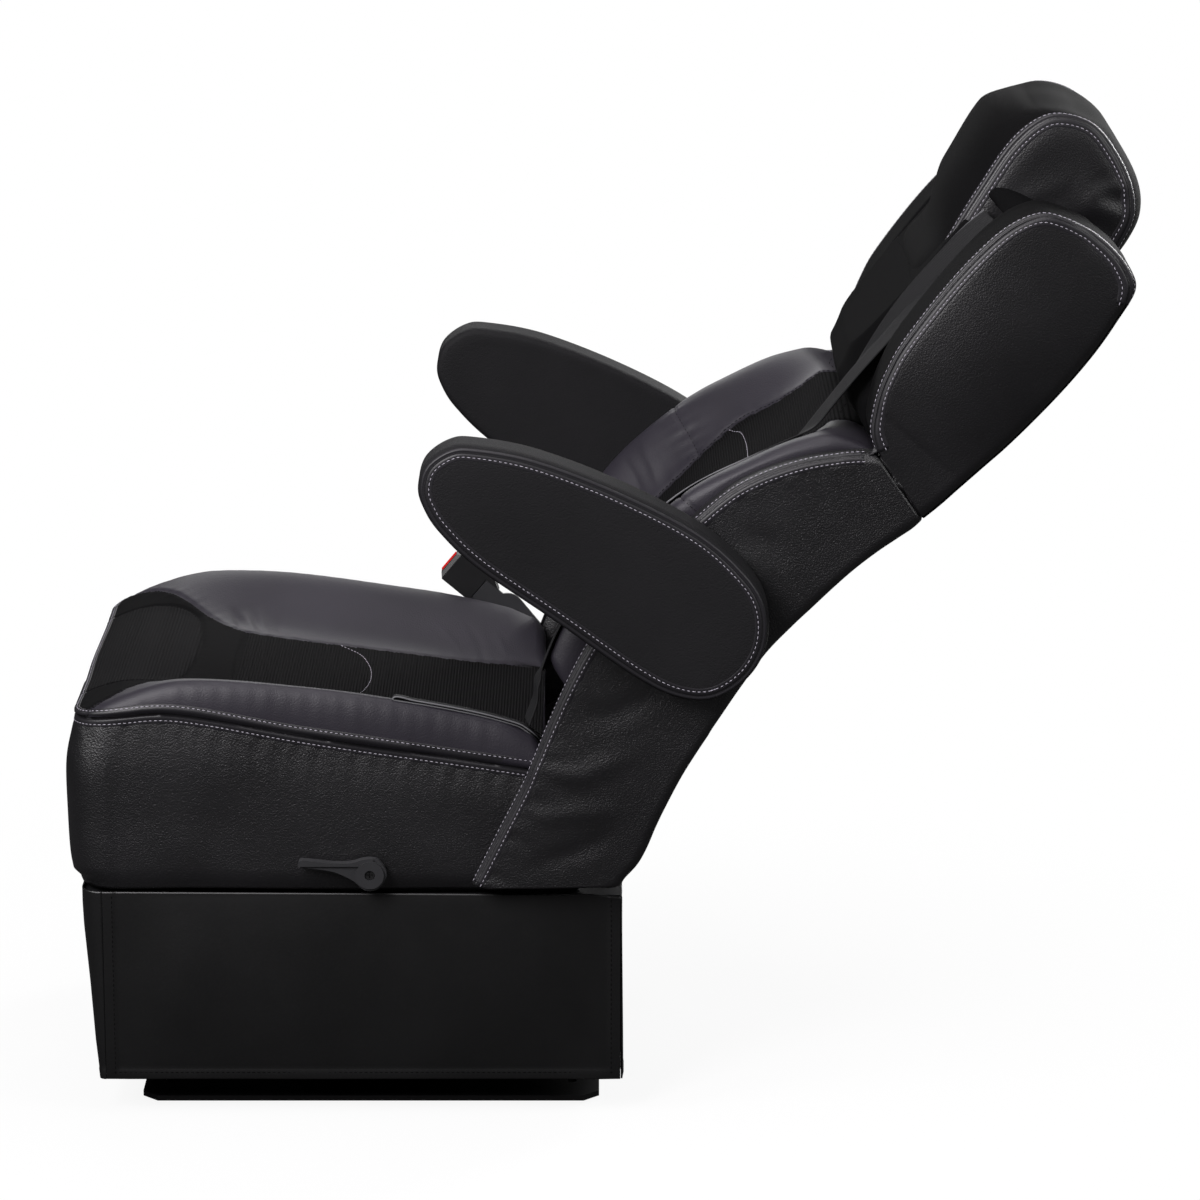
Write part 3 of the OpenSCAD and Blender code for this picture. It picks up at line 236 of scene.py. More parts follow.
def hide(g, dark, light, rough, grain):  # colour, roughness and height of grained leather
    at = g.place()
    warp = g.noise(at, 90, 2)
    pebbles = g.cells(at, 560) + 0.5 * g.cells(at, 1150)
    wrinkles = g.noise(at, 42, 5, 0.62)
    cloud = g.noise(at, 7, 3)
    return (g.mix((cloud - 0.3) * 1.6, dark, light), rough + 0.12 * (cloud - 0.5) + 0.05 * pebbles,
            grain * (1.0 - pebbles) + 0.55 * wrinkles + 0.2 * warp)


def leather(name, dark, light, rough, grain, depth=0.00022, **plain):
    g = Graph(name)
    return g.close(g.shade(*hide(g, dark, light, rough, grain), depth, **plain))


def waves(wire, pitch):
    return (wire * (math.pi / pitch)).sine()


def insertLeather(name, dark, light, rough):  # leather with ribbed, knitted and plain matte zones
    g = Graph(name)
    colour, roughness, height = hide(g, dark, light, rough, 0.5)
    along, across, ribs, knit, calm = (g.mask(k) for k in ("along", "across", "ribs", "knit", "calm"))
    ridge = waves(along, 3.3).size()
    ribHeight = ridge * (0.8 + 0.2 * waves(across, 1.6).size())
    dots = (waves(along, 3.6) * waves(across, 3.6)).size()
    pattern = ribs * ribHeight + knit * (0.7 * dots + 0.3 * ridge)
    cloth = g.mix(pattern, (0.0016, 0.0016, 0.0017), (0.0085, 0.0083, 0.0088))
    cloth = g.mix(knit * dots * 0.6, cloth, (0.02, 0.0195, 0.0205))
    cloth = g.mix(calm, cloth, (0.0042, 0.0041, 0.0044))
    sheen = g.shade(colour, roughness, height, 0.00026, Specular_IOR_Level=0.4)
    dull = g.shade(cloth, 0.9, calm * height + 3.2 * pattern, 0.00022, Specular_IOR_Level=0.05)
    return g.close(g.blend((ribs + knit + calm).least(1.0), sheen, dull))


def sidedLeather(name, limit):  # matte between the side panels, a soft sheen on them
    g = Graph(name)
    sideways = g.add("ShaderNodeSeparateXYZ", inputs={0: g.place()})
    side = ((sideways.size() - limit) * 700).most(0.0).least(1.0)
    sheen = g.shade(*hide(g, (0.002, 0.0018, 0.0024), (0.0052, 0.0047, 0.0062), 0.37, 0.8), 0.00026,
                    Specular_IOR_Level=0.68)
    dull = g.shade(*hide(g, (0.0028, 0.0028, 0.003), (0.005, 0.0049, 0.0053), 0.86, 0.7), 0.0002,
                   Specular_IOR_Level=0.08)
    return g.close(g.blend(side, dull, sheen))


def wovenWebbing(name):
    g = Graph(name)
    along, across = g.mask("along"), g.mask("across")
    height = 0.6 * waves(along + across * 0.9, 1.5).size() + 0.4 * waves(across, 2.1).size()
    # the belt's edges are painted pale grey: partly a paler selvedge, partly a painted highlight along the
    # edges
    edge = ((across.size() - 21.0) * 0.6).most(0.0).least(1.0)
    colour = g.mix(height, (0.0035, 0.0035, 0.004), (0.012, 0.012, 0.013))
    colour = g.mix(edge * 0.8, colour, (0.2, 0.2, 0.21))
    return g.close(g.shade(colour, 0.72 - 0.1 * height, height, 0.0003, Specular_IOR_Level=0.25))


def metal(name, colour, rough, streak=0.15, depth=0.00006, metallic=1.0):
    g = Graph(name)
    at = g.place()
    lines = g.noise(g.add("ShaderNodeMapping", inputs={"Vector": at, "Scale": (40, 40, 900)}), 4, 4)
    blotch = g.noise(at, 14, 4)
    dull = tuple(0.72 * c for c in colour)
    uneven = rough + streak * (lines - 0.5) + 0.12 * (blotch - 0.5)
    return g.close(g.shade(g.mix(blotch, dull, colour), uneven, lines, depth, Metallic=metallic))


def moulded(name, colour, rough, grain=900, depth=0.00005, **plain):
    g = Graph(name)
    at = g.place()
    pits, wear = g.noise(at, grain, 3, 0.6), g.noise(at, 22, 4)
    pale = tuple(min(1.35 * c + 0.002, 1) for c in colour)
    return g.close(g.shade(g.mix(wear, colour, pale), rough + 0.1 * (wear - 0.5), pits, depth, **plain))


leatherBlack = leather("leather_black", (0.0032, 0.003, 0.0037), (0.0075, 0.007, 0.0086), 0.38, 0.8, 0.00046,
                       Specular_IOR_Level=0.68)
leatherArm = leather("leather_arm", (0.0068, 0.0066, 0.0075), (0.0122, 0.0118, 0.0132), 0.68, 0.9, 0.00036,
                     Specular_IOR_Level=0.22)
leatherSheen = leather("leather_sheen", (0.014, 0.012, 0.0175), (0.022, 0.019, 0.027), 0.5, 0.35)
leatherMatte = leather("leather_matte", (0.0028, 0.0028, 0.003), (0.005, 0.0049, 0.0053), 0.86, 0.7,
                       Specular_IOR_Level=0.05)
# the inserts' leather is several times lighter than the black leather: partly its own lilac tint, partly a
# painted sheen where the bolsters face the light
leatherInsert = insertLeather("leather_and_ribbed_cloth", (0.0175, 0.0155, 0.0215), (0.03, 0.0268, 0.036),
                              0.44)
leatherHead = sidedLeather("leather_head", 0.1228)
leatherWing = sidedLeather("leather_wing", 0.2795)
# the folded seams use a lighter copy of the black leather: a painted highlight on their ridges
seamHighlightLeather = leather("leather_seam_painted_highlight", (0.009, 0.0084, 0.0104), (0.015, 0.0138, 0.0175), 0.42, 0.3)
vinyl = leather("vinyl_black", (0.0022, 0.0022, 0.0024), (0.0042, 0.0042, 0.0045), 0.36, 0.12, 0.00012,
                Specular_IOR_Level=0.66)
webbing = wovenWebbing("webbing_black")
threads = {"lilac": moulded("thread_lilac", (0.36, 0.34, 0.39), 0.6, 2500, 0.00004),
           "black": moulded("thread_black", (0.0012, 0.0012, 0.0014), 0.8, 2500, 0.00004,
                            Specular_IOR_Level=0.1)}
print("materials made")


def makeMesh(name, points, faces, material, body):
    mesh = bpy.data.meshes.new(name)
    mesh.from_pydata((np.asarray(points) * mm).tolist(), [], faces)
    bm = bmesh.new()
    bm.from_mesh(mesh)
    bmesh.ops.recalc_face_normals(bm, faces=bm.faces)
    bm.to_mesh(mesh)
    bm.free()
    mesh.polygons.foreach_set("use_smooth", [True] * len(mesh.polygons))
    mesh.materials.append(material)
    return addPiece(name, mesh, body)


def addPiece(name, mesh, body):
    piece = bpy.data.objects.new(name, mesh)
    bpy.context.scene.collection.objects.link(piece)
    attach(piece, body)
    return piece


def loft(name, rings, material, body, marks=()):  # closed rings, shut at both ends
    rings = np.asarray(rings, float)
    n, m = rings.shape[:2]
    at = np.arange(n * m).reshape(n, m)
    turned = np.roll(at, -1, 1)
    faces = np.stack([at[:-1], turned[:-1], turned[1:], at[1:]], -1).reshape(-1, 4).tolist()
    for ring, middle in ((at[0], n * m), (at[-1], n * m + 1)):
        faces += [[int(a), int(b), middle] for a, b in zip(ring, np.roll(ring, -1))]
    points = np.concatenate([rings.reshape(-1, 3), [rings[0].mean(0), rings[-1].mean(0)]])
    piece = makeMesh(name, points, faces, material, body)
    for key, values in dict(marks).items():
        flat = np.concatenate([np.broadcast_to(values, (n, m)).reshape(-1), [0, 0]])
        piece.data.attributes.new(key, "FLOAT", "POINT").data.foreach_set("value", flat)
    return piece


def coordinates(piece):
    co = np.zeros(len(piece.data.vertices) * 3)
    piece.data.vertices.foreach_get("co", co)
    return co.reshape(-1, 3) / mm


def reshape(piece, co):
    piece.data.vertices.foreach_set("co", (co * mm).reshape(-1))
    piece.data.update()


def push(piece, amount):  # moves every vertex along its normal
    no = np.zeros(len(piece.data.vertices) * 3)
    piece.data.vertex_normals.foreach_get("vector", no)
    reshape(piece, coordinates(piece) + no.reshape(-1, 3) * np.asarray(amount)[:, None])


def padding(piece, fill, *nodes):
    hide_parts(*nodes)


def surfaceOf(*pieces):
    points, faces = [], []
    for piece in pieces:
        start = len(points)
        points += coordinates(piece).tolist()
        faces += [[start + k for k in p.vertices] for p in piece.data.polygons]
    return BVHTree.FromPolygons(points, faces)


def settle(surface, point, direction, reach=14.0):  # where a ray down onto the surface lands
    start = Vector(point) + Vector(direction) * reach
    hit = surface.ray_cast(start, -Vector(direction), 2.4 * reach)[0]
    return np.array(hit) if hit is not None else np.array(point)


def eased(rows, rounds):  # evens out rows of points along their run
    rows = np.array(rows)
    for _ in range(rounds):
        rows[1:-1] = 0.25 * rows[:-2] + 0.5 * rows[1:-1] + 0.25 * rows[2:]
    return rows


stitchRows = {}


def addRow(body, points, thread="lilac"):
    stitchRows.setdefault((body, thread), []).append(np.array(points))


seam = {"rows": 6.5, "root": 2.5, "stitchLift": 0.35}
twinProfile = mirrored([(-10, -1.6), (-9, 0.0), (-7.6, 0.8), (-6.5, 0.5), (-5.2, 1.2), (-3.2, 1.7),
                        (-1.4, 1.2), (0, -1.4)])
plainProfile = mirrored([(-4.5, -1.2), (-3.4, 0.1), (-1.8, 0.5), (-0.7, 0.1), (0, -1.3)])


def seamStrip(name, body, surface, path, lift, profile=twinProfile, rows=(-seam["rows"], seam["rows"]),
              thread="lilac", material=seamHighlightLeather):  # folded leather and its stitches along a path
    path = evenly(path)
    lift = np.atleast_2d(np.asarray(lift, float))
    keep = np.linspace(0, len(lift) - 1, len(path))
    lift = np.stack([np.interp(keep, range(len(lift)), q) for q in lift.T], -1)
    along = unit(np.gradient(path, axis=0))
    lift = unit(lift - (lift * along).sum(1)[:, None] * along)
    side = np.cross(along, lift)
    rings = []
    for p, n, s in zip(path, lift, side):
        spots = [settle(surface, p + s * a, n) for a, h in profile]
        rings.append([q + n * h for q, (a, h) in zip(spots, profile)]
                     + [q - n * seam["root"] for q in spots[::-3]])
    for r in rows:
        height = np.interp(r, *np.array(profile).T) + seam["stitchLift"]
        addRow(body, [settle(surface, p + s * r, n) + n * height for p, n, s in zip(path, lift, side)],
               thread)
    return loft(name, eased(rings, 2), material, body)  # eased where the ray meets an edge


print("tools ready")

# the seat cushion's top: x to the side, y rearwards, z up, and its seams as (x, y)
seat = {"half": 264.0, "front": 311.0, "rear": 188.0, "corner": 45.0, "insert": 150.0, "crown": 5.0,
        "foot": 248.3, "panels": 150}
seamZ = curveFn([(-311, 443), (-260, 449), (-196, 451), (-68, 428), (91, 404), (176, 391), (230, 384)])
crestZ = curveFn([(-311, 448), (-278, 457), (-253, 466), (-225, 475), (-190, 480), (-124, 478), (-49, 471),
                  (26, 459), (80, 450), (135, 438), (200, 418)])
insertZ = curveFn([(-311, 452), (-260, 459), (-200, 453), (-145, 442), (-65, 430), (30, 416), (100, 405),
                   (200, 389)])
sideSeam = smoothCurve([(252, -296), (230, -268), (196, -236), (142, -190), (111, -149), (110, -90),
                        (116, -39), (127, 80), (153, 188)])
meshSeam = smoothCurve(mirrored([(-164, -312), (-166, -262), (-163, -234), (-150, -214), (-124, -203),
                                 (-70, -196), (0, -193)]))
yokeSeam = smoothCurve(mirrored([(-111, -149), (-60, -151), (0, -152)]))
arcSeam = smoothCurve([(-110, -42), (-84, -20), (-40, -8), (0, -4), (40, -5), (84, -14), (111, -34)])
borderLine = smoothCurve([(214, -311), (238, -303), (256, -285), (264, -262), (264, -150), (264, 0),
                          (264, 176)])
seatFolds = [(2.2, (172, -156), (146, -150), (116, -141)), (-2.0, (176, -172), (148, -162), (122, -158)),
             (1.6, (182, -141), (150, -134), (118, -128)), (-1.1, (170, -120), (142, -116), (118, -110)),
             (0.6, (196, 60), (170, 82), (136, 96)), (-0.7, (204, 96), (174, 112), (140, 120)),
             (0.7, (200, 128), (172, 140), (146, 150))]


def cushionW(y):  # half the cushion's width
    return seat["half"] - seat["corner"] * (1 - roundShare((y + seat["front"]) / seat["corner"]))


def cushionTop(x, y):
    w = cushionW(y)
    inner = insertZ(y) + 4 * (1 - (x / w) ** 2)
    rise = smoothStep((np.abs(x) - seat["insert"] + 20) / (0.96 * w - seat["insert"] + 20))
    high = inner + (crestZ(y) + seat["crown"] - inner) * rise
    edge = roundShare((w - np.abs(x)) / 15) * roundShare((y + seat["front"]) / 55)
    rear = 0.35 + 0.65 * roundShare((seat["rear"] - y) / 26)
    base = seamZ(y) + 1
    return base + (high - base) * edge * np.where(high > base - 1, rear, 1)


def foamW(y):  # half the foam's width, between the border's sides
    r, d = seat["corner"] - 13.8, y + seat["front"] - seat["corner"]
    arc = math.sqrt(max(r * r - d * d, 0)) if d < 0 else r
    return min(222.0, cushionW(y) - 2, 260 - seat["corner"] + arc)


def within(past):  # 1 inside a seam, 0 past it
    return 1 - smoothStep((past + 1.5) / 2)


fine = np.array([0.15, 0.5, 1.1, 2, 3.2, 4.8, 6.8, 9.2, 12, 13.05])
length = seat["front"] + seat["rear"]
stations = np.concatenate([fine, [13.3], np.arange(15, 460, 2.9), length - fine[8:0:-1], [length - 0.05]])
stations -= seat["front"]
edgeSteps = np.array([0, 0.15, 0.4, 0.8, 1.4, 2.2, 3.2, 4.5, 6, 8, 10.5, 13.5, 17, 21])
rings = []
for y in stations:
    w, foam = float(cushionW(y)), foamW(y)
    across = np.linspace(24 - w, w - 24, seat["panels"])
    across = np.concatenate([edgeSteps - w, across, (w - edgeSteps)[::-1]])
    top = np.stack([across, np.full_like(across, y), np.maximum(cushionTop(across, y), seamZ(y) + 0.6)], -1)
    low = seat["foot"] if y > 13.2 - seat["front"] else seamZ(y) - 0.01
    rings.append([(-foam, y, low), (-foam, y, seamZ(y)), *top, (foam, y, seamZ(y)), (foam, y, low)])
x, y, z = np.moveaxis(np.array(rings, float), -1, 0)
rearMesh = meshSeam[meshSeam[:, 1] > -234]
onTop = z > seamZ(y) + 2
inside = within(np.abs(x) - np.interp(y, sideSeam[:, 1], sideSeam[:, 0]))
ribs = inside * smoothStep((y + 151) / 2) * onTop
knit = within(y - np.interp(x, *rearMesh.T)) * within(np.abs(x) - 164.5) * onTop
along = runAlong(np.column_stack([stations, insertZ(stations)]))[:, None]
seatTop = loft("seat_cushion_top", rings, leatherInsert, "seat",
               {"along": along, "across": x, "ribs": ribs, "knit": knit,
                "calm": inside * (1 - ribs) * (1 - knit)})
x, y, z = coordinates(seatTop).T
flat, half = np.column_stack([x, y]), np.column_stack([np.abs(x), y])
field = swells(x, y, 0.9, 34) + sewn(half, sideSeam, 2.4, 2.6, 15, 0.45, 9) + folds(half, seatFolds, 4.5)
for path, depth, width in ((meshSeam, 2.0, 2.4), (yokeSeam, 1.6, 2.2), (arcSeam, 0.9, 1.6)):
    field += sewn(flat, path, depth, width, 17, 0.12)
field += sewn(half, borderLine, 0, 1, 19, 0.2, 11) * (z > seamZ(y) + 1)
push(seatTop, field * (z > 330))
padding(seatTop, 0.8, "seat_cushion")
seatSurface = surfaceOf(seatTop)
for path, thread, shift in ((sideSeam, "black", 2.6), (sideSeam * (-1, 1), "black", 2.6),
                            (meshSeam, "black", 2.6), (yokeSeam, "black", 2.6), (arcSeam, "lilac", 0.0)):
    line = evenly(path)
    line = np.column_stack([line, cushionTop(*line.T)])
    outward = unit(np.cross(np.gradient(line, axis=0), (0, 0, 1.0)))
    addRow("seat", [settle(seatSurface, p, (0, 0, 1)) + (0, 0, 0.3) for p in line + outward * shift], thread)
print("seat cushion made")

# the leather border around the cushion's foot
border = {"low": 256.0, "thick": 13.0, "half": 260.0, "front": -311.0, "rear": 176.0, "corner": 45.0}
bulge = curveFn([(0, -3), (0.05, 0), (0.12, 0.7), (0.4, 1.0), (0.7, 1.0), (0.9, 0.35), (0.97, 0.0),
                 (1.0, -0.2)])
cornerX, cornerY = border["half"] - border["corner"], border["front"] + border["corner"]
turn = np.radians(np.linspace(3, 87, 18))
side = [(border["half"], y, 1, 0) for y in np.arange(border["rear"], cornerY, -3.5)]
side += [(cornerX + border["corner"] * c, cornerY - border["corner"] * s, c, -s)
         for c, s in ((math.cos(a), math.sin(a)) for a in turn)]
front = [(x, border["front"], 0, -1) for x in np.arange(cornerX, -cornerX - 0.1, -3.5)]
path = np.array(side + front + [(-a, b, -c, d) for a, b, c, d in side[::-1]])  # place and outward direction
heights = np.concatenate([[0, 0.015, 0.04, 0.08, 0.13], np.linspace(0.16, 0.9, 44),
                          [0.93, 0.955, 0.975, 0.99, 1]])
rings = []
for px, py, nx, ny in path:
    top = float(seamZ(py)) - 0.3
    crown = 4 + 8 * smoothStep((-py - 262) / 40)
    out = bulge(heights) * np.where((heights < 0.12) & (bulge(heights) < 0), 1, crown)
    outer = np.stack([px + nx * out, py + ny * out, border["low"] + (top - border["low"]) * heights], -1)
    px, py = px - nx * border["thick"], py - ny * border["thick"]
    rings.append([*outer, *((px, py, z) for z in (top, 0.5 * (top + border["low"]), border["low"]))])
seatBorder = loft("seat_border", rings, leatherBlack, "seat")
x, y, z = coordinates(seatBorder).T
field = swells(y + 0.6 * x, z, 1.0, 38, 0.7)
for midY, midZ, reach, height in ((-215, 300, 60, 1.08), (-60, 290, 75, -0.84), (60, 295, 55, 0.72)):
    field += height * np.exp(-((y - midY) / reach) ** 2 - ((z - midZ) / 26) ** 2)
d, place, _ = pathDistance(np.column_stack([y, z]), np.array([(-311, 443), (-196, 451), (-68, 428), (91, 404),
                                                                (176, 391)], float))
field += gathers(np.maximum(d - 8, 0), place, 21, 0.55, 16) * (np.abs(x) > 214)
field -= 0.8 * np.exp(-((y + 267) / 1.6) ** 2)  # the seam at each front corner
push(seatBorder, field * ((np.abs(x) > 247.5) | (y < -299)))
padding(seatBorder, 0.8, "seat_panel_left", "seat_panel_right", "seat_panel_front")
px, py, nx, ny = path.T
frenchSeam = seamStrip("seat_french_seam", "seat", surfaceOf(seatTop, seatBorder),
                       np.column_stack([px + 3.6 * nx, py + 3.6 * ny, seamZ(py) + 0.5]),
                       np.column_stack([0.86 * nx, 0.86 * ny, np.full_like(nx, 0.5)]))
co = coordinates(frenchSeam)
for points in [co] + stitchRows["seat", "lilac"][-2:]:  # keeps the rear ends clear of the back's sides
    points[:, 0] = np.where(points[:, 1] > 50, np.clip(points[:, 0], -264.2, 264.2), points[:, 0])
reshape(frenchSeam, co)
print("seat border made")

# the back: V curves give the distance ahead of the recline axis for a height u along the back
back = {"foot": 104.0, "crease": 521.0, "valley": 824.0, "foam": 36.3, "half": 249.7, "upperHalf": 195.0,
        "side": 284.0, "face": 280.0}
rearV = curveFn([(-60, -52), (-16, -50), (25, -50), (65, -38), (125, -23), (202, -12), (286, -2), (340, -5),
                 (426, -15), (502, -33), (553, -43), (608, -50), (702, -52), (783, -48), (833, -40),
                 (860, -35)])
bolsterV = curveFn([(90, 150), (150, 172), (220, 182), (279, 182), (345, 172), (380, 162), (415, 147),
                    (457, 128), (483, 112), (521, 84)])
middleV = curveFn([(90, 118), (180, 128), (264, 127), (340, 122), (385, 112), (432, 101), (476, 93),
                   (521, 86)])
edgeV = curveFn([(-116, 69), (-44, 88), (13, 102), (70, 121), (110, 134), (163, 147), (215, 155), (260, 157),
                 (340, 152), (402, 141), (456, 114), (494, 84), (521, 56)])
upperV = curveFn([(521, 108), (556, 116), (598, 129), (657, 137), (738, 141), (824, 140)])
upperSideV = curveFn([(521, 84), (556, 88), (598, 92), (657, 95), (720, 88), (760, 80), (800, 66), (824, 56)])
lowerSeam = smoothCurve([(150, 100), (151, 180), (152, 263), (152, 336), (161, 395), (146, 445), (136, 480),
                         (130, 524)])
crossSeam = smoothCurve([(152, 334), (190, 342), (225, 347), (252, 350)], 5)
lowerArc = smoothCurve(mirrored([(-156, 380), (-120, 391), (-60, 395), (0, 396)]), 5)
bibSeam = smoothCurve(mirrored([(-141, 700), (-138, 682), (-123, 671), (-60, 674), (0, 676)]), 5)
backFolds = [(2.2, (158, 275), (186, 288), (220, 296)), (-2.0, (158, 250), (190, 262), (226, 268)),
             (1.8, (158, 225), (192, 236), (224, 240)), (-1.0, (160, 310), (190, 316), (220, 318))]


def bolsterFront(x, u):
    rise = smoothStep((np.abs(x) - seat["insert"] + 8) / (0.93 * back["half"] - seat["insert"] + 8))
    return middleV(u) + (bolsterV(u) - middleV(u)) * rise


def bibFront(x, u):
    return upperV(u) + (upperSideV(u) - upperV(u)) * smoothStep((np.abs(x) - 95) / (back["upperHalf"] - 95))


def lowerFront(x, u):
    high = bolsterFront(x, u)
    return high + (edgeV(u) + 2 - high) * (1 - roundShare((back["half"] - np.abs(x)) / 16))


def upperFront(x, u):
    edge = 0.75 + 0.25 * roundShare((back["upperHalf"] - np.abs(x)) / 12)
    return back["foam"] + (bibFront(x, u) - back["foam"]) * edge


endSteps = np.array([0, 0.3, 0.8, 1.6, 2.8, 4.4, 6.4, 9, 12, 15.5, 19.5, 24])


def backCushion(name, low, high, edge, inner, half, front, material, rearAt, rounding):
    edge = np.array(edge)  # shares of the half width, close together at both edges
    x = half * np.concatenate([edge - 1, np.linspace(-inner[0], inner[0], inner[1]), (1 - edge)[::-1]])
    us = np.concatenate([low + endSteps, np.linspace(low + 27, high - 27, int((high - low - 54) / 2.9)),
                         high - endSteps[::-1]])
    rows = []
    for u in us:
        ends = roundShare((u - low + 0.8) / 26) * roundShare((high + 0.8 - u) / rounding)
        ahead = back["foam"] + (front(x, u) - back["foam"]) * ends
        rows.append([*onBack(x, ahead, u), *onBack([half, -half], rearAt(u), u)])
    gridX, gridU = np.meshgrid(np.concatenate([x, [half, -half]]), us)
    ribs = within(np.abs(gridX) - np.interp(gridU, lowerSeam[:, 1], lowerSeam[:, 0]))
    ribs[:, -2:] = 0
    along = runAlong(np.column_stack([us, front(0.0, us)]))[:, None]
    return loft(name, rows, material, "backrest", {"along": along, "across": gridX, "ribs": ribs})


def backRow(piece, front, path, thread="black", sides=(1,), shift=0.0, lift=0.1):
    surface = surfaceOf(piece)
    for sign in sides:
        line = [onBack(sign * (a + shift), front(a, b), b) for a, b in evenly(path)]
        addRow("backrest", [settle(surface, p, frontDir) + frontDir * lift for p in line], thread)


lowerBack = backCushion("back_cushion_lower", back["foot"], back["crease"] - 0.3,
                        (0, 0.002, 0.006, 0.012, 0.02, 0.03, 0.042, 0.055), (0.93, 150), back["half"],
                        lowerFront, leatherInsert, lambda u: back["foam"], 26)
x, v, u = onFront(coordinates(lowerBack))
half = np.column_stack([np.abs(x), u])
field = (swells(x, u, 0.9, 36, 0.4) + sewn(half, lowerSeam, 2.2, 2.6, 16, 0.6, 9)
         + sewn(half, crossSeam, 1.5, 2.0, 13, 0.7, 12) + sewn(np.column_stack([x, u]), lowerArc, 0.8, 1.5)
         + folds(half, backFolds, 6))
push(lowerBack, field * (v > back["foam"] + 6))
padding(lowerBack, 0.8, "back_lower_cushion")
backRow(lowerBack, lowerFront, lowerSeam[6:], sides=(1, -1), shift=2.6, lift=0.3)
backRow(lowerBack, lowerFront, crossSeam, sides=(1, -1))
backRow(lowerBack, lowerFront, lowerArc, "lilac", lift=0.3)

guide = {"x": 163, "u": 776, "halfX": 30, "halfU": 11, "depth": 61.5}  # the belt guide, clear of the padding
upperBack = backCushion("back_cushion_upper", back["crease"], back["valley"],
                        (0, 0.003, 0.008, 0.016, 0.027, 0.04), (0.94, 120), back["upperHalf"], upperFront,
                        leatherMatte, lambda u: -44.0 if u > 806 else back["foam"], 24)
x, v, u = onFront(coordinates(upperBack))
field = swells(x, u, 1.0, 40, 1.4) + sewn(np.column_stack([x, u]), bibSeam, 0.9, 2.0)
field += sewn(np.column_stack([np.abs(x), u]), np.array([(196.0, 520), (196, 824)]), 0, 1, 22, 0.7, 14)
push(upperBack, field * (v > back["foam"] + 6) * ((np.abs(x - guide["x"]) > 33) | (u < 764)))
co = coordinates(upperBack)
x, v, u = onFront(co)
past = np.maximum(np.abs(x - guide["x"]) - guide["halfX"], np.abs(u - guide["u"]) - guide["halfU"])
deep = np.minimum(v, guide["depth"] + 60 * (1 - np.exp(-np.maximum(past, 0) ** 2 / 12)))
reshape(upperBack, co + np.where(v > 40, deep - v, 0)[:, None] * frontDir)
padding(upperBack, 0.75, "back_upper_cushion")
backRow(upperBack, upperFront, bibSeam)
print("back centre made")

# the back's sides: a panel from the foot to the crease and a wing above it, with outlines as (rearwards, up)
wing = {"inner": 195.4, "radius": 14, "puff": 7.0, "heart": (-40, 700), "seamInset": 4}
panel = {"inner": 264.9, "step": 14.9, "radius": 12, "puff": 2.2, "seamX": {1: 280.5, -1: -277.0},
         "seamInset": 3.5}  # the seam on the right is clear of the buckle's stalk
panelFront = [(-edgeV(u), u) for u in (-112, -100, -80, -44, -15, 13, 42, 70, 120, 163, 215, 260, 300,
                                       340, 375, 402, 430, 456, 476, 494, 510)] + [(-52, 523.6)]
panelBack = [(-55, -104), (-15, -70), (30, -31), (50, -14)] + [
    (-rearV(u), u) for u in (0, 20, 40, 65, 90, 125, 160, 202, 240, 286, 325, 355, 385, 415, 445, 470, 488)
] + [(31, 501.6)]
shoulderFront = [(-51, 525), (-63, 530), (-74, 538), (-84, 553), (-95, 574), (-103, 597), (-110, 630),
                 (-114, 700), (-113, 755), (-107, 795), (-92, 825), (-70, 838), (-40, 847)]
shoulderBack = [(32, 502), (36, 525), (39, 548), (42, 570), (45, 592), (48, 615), (50.5, 650), (52, 700),
                (51, 750), (47, 790), (40, 828), (22, 842), (-6, 848)]
topTurn = np.concatenate([
    smoothCurve([(40, 812), (30, 828), (14, 838), (-10, 845), (-40, 846)])[:-1],
    smoothCurve([(-40, 846), (-70, 837), (-92, 824), (-107, 795), (-113, 755), (-114, 700), (-110, 630),
                 (-103, 597), (-95, 574), (-84, 553), (-74, 539), (-63, 531), (-53, 526)])])
panelFolds = [(2.4, (110, 20), (60, 60), (30, 120)), (2.0, (80, -20), (40, 20), (0, 60)),
              (-1.8, (40, -60), (10, -10), (-10, 40)), (-1.6, (120, 90), (80, 130), (50, 190)),
              (2.0, (120, 330), (80, 345), (40, 340)), (-1.6, (110, 370), (76, 380), (40, 372))]


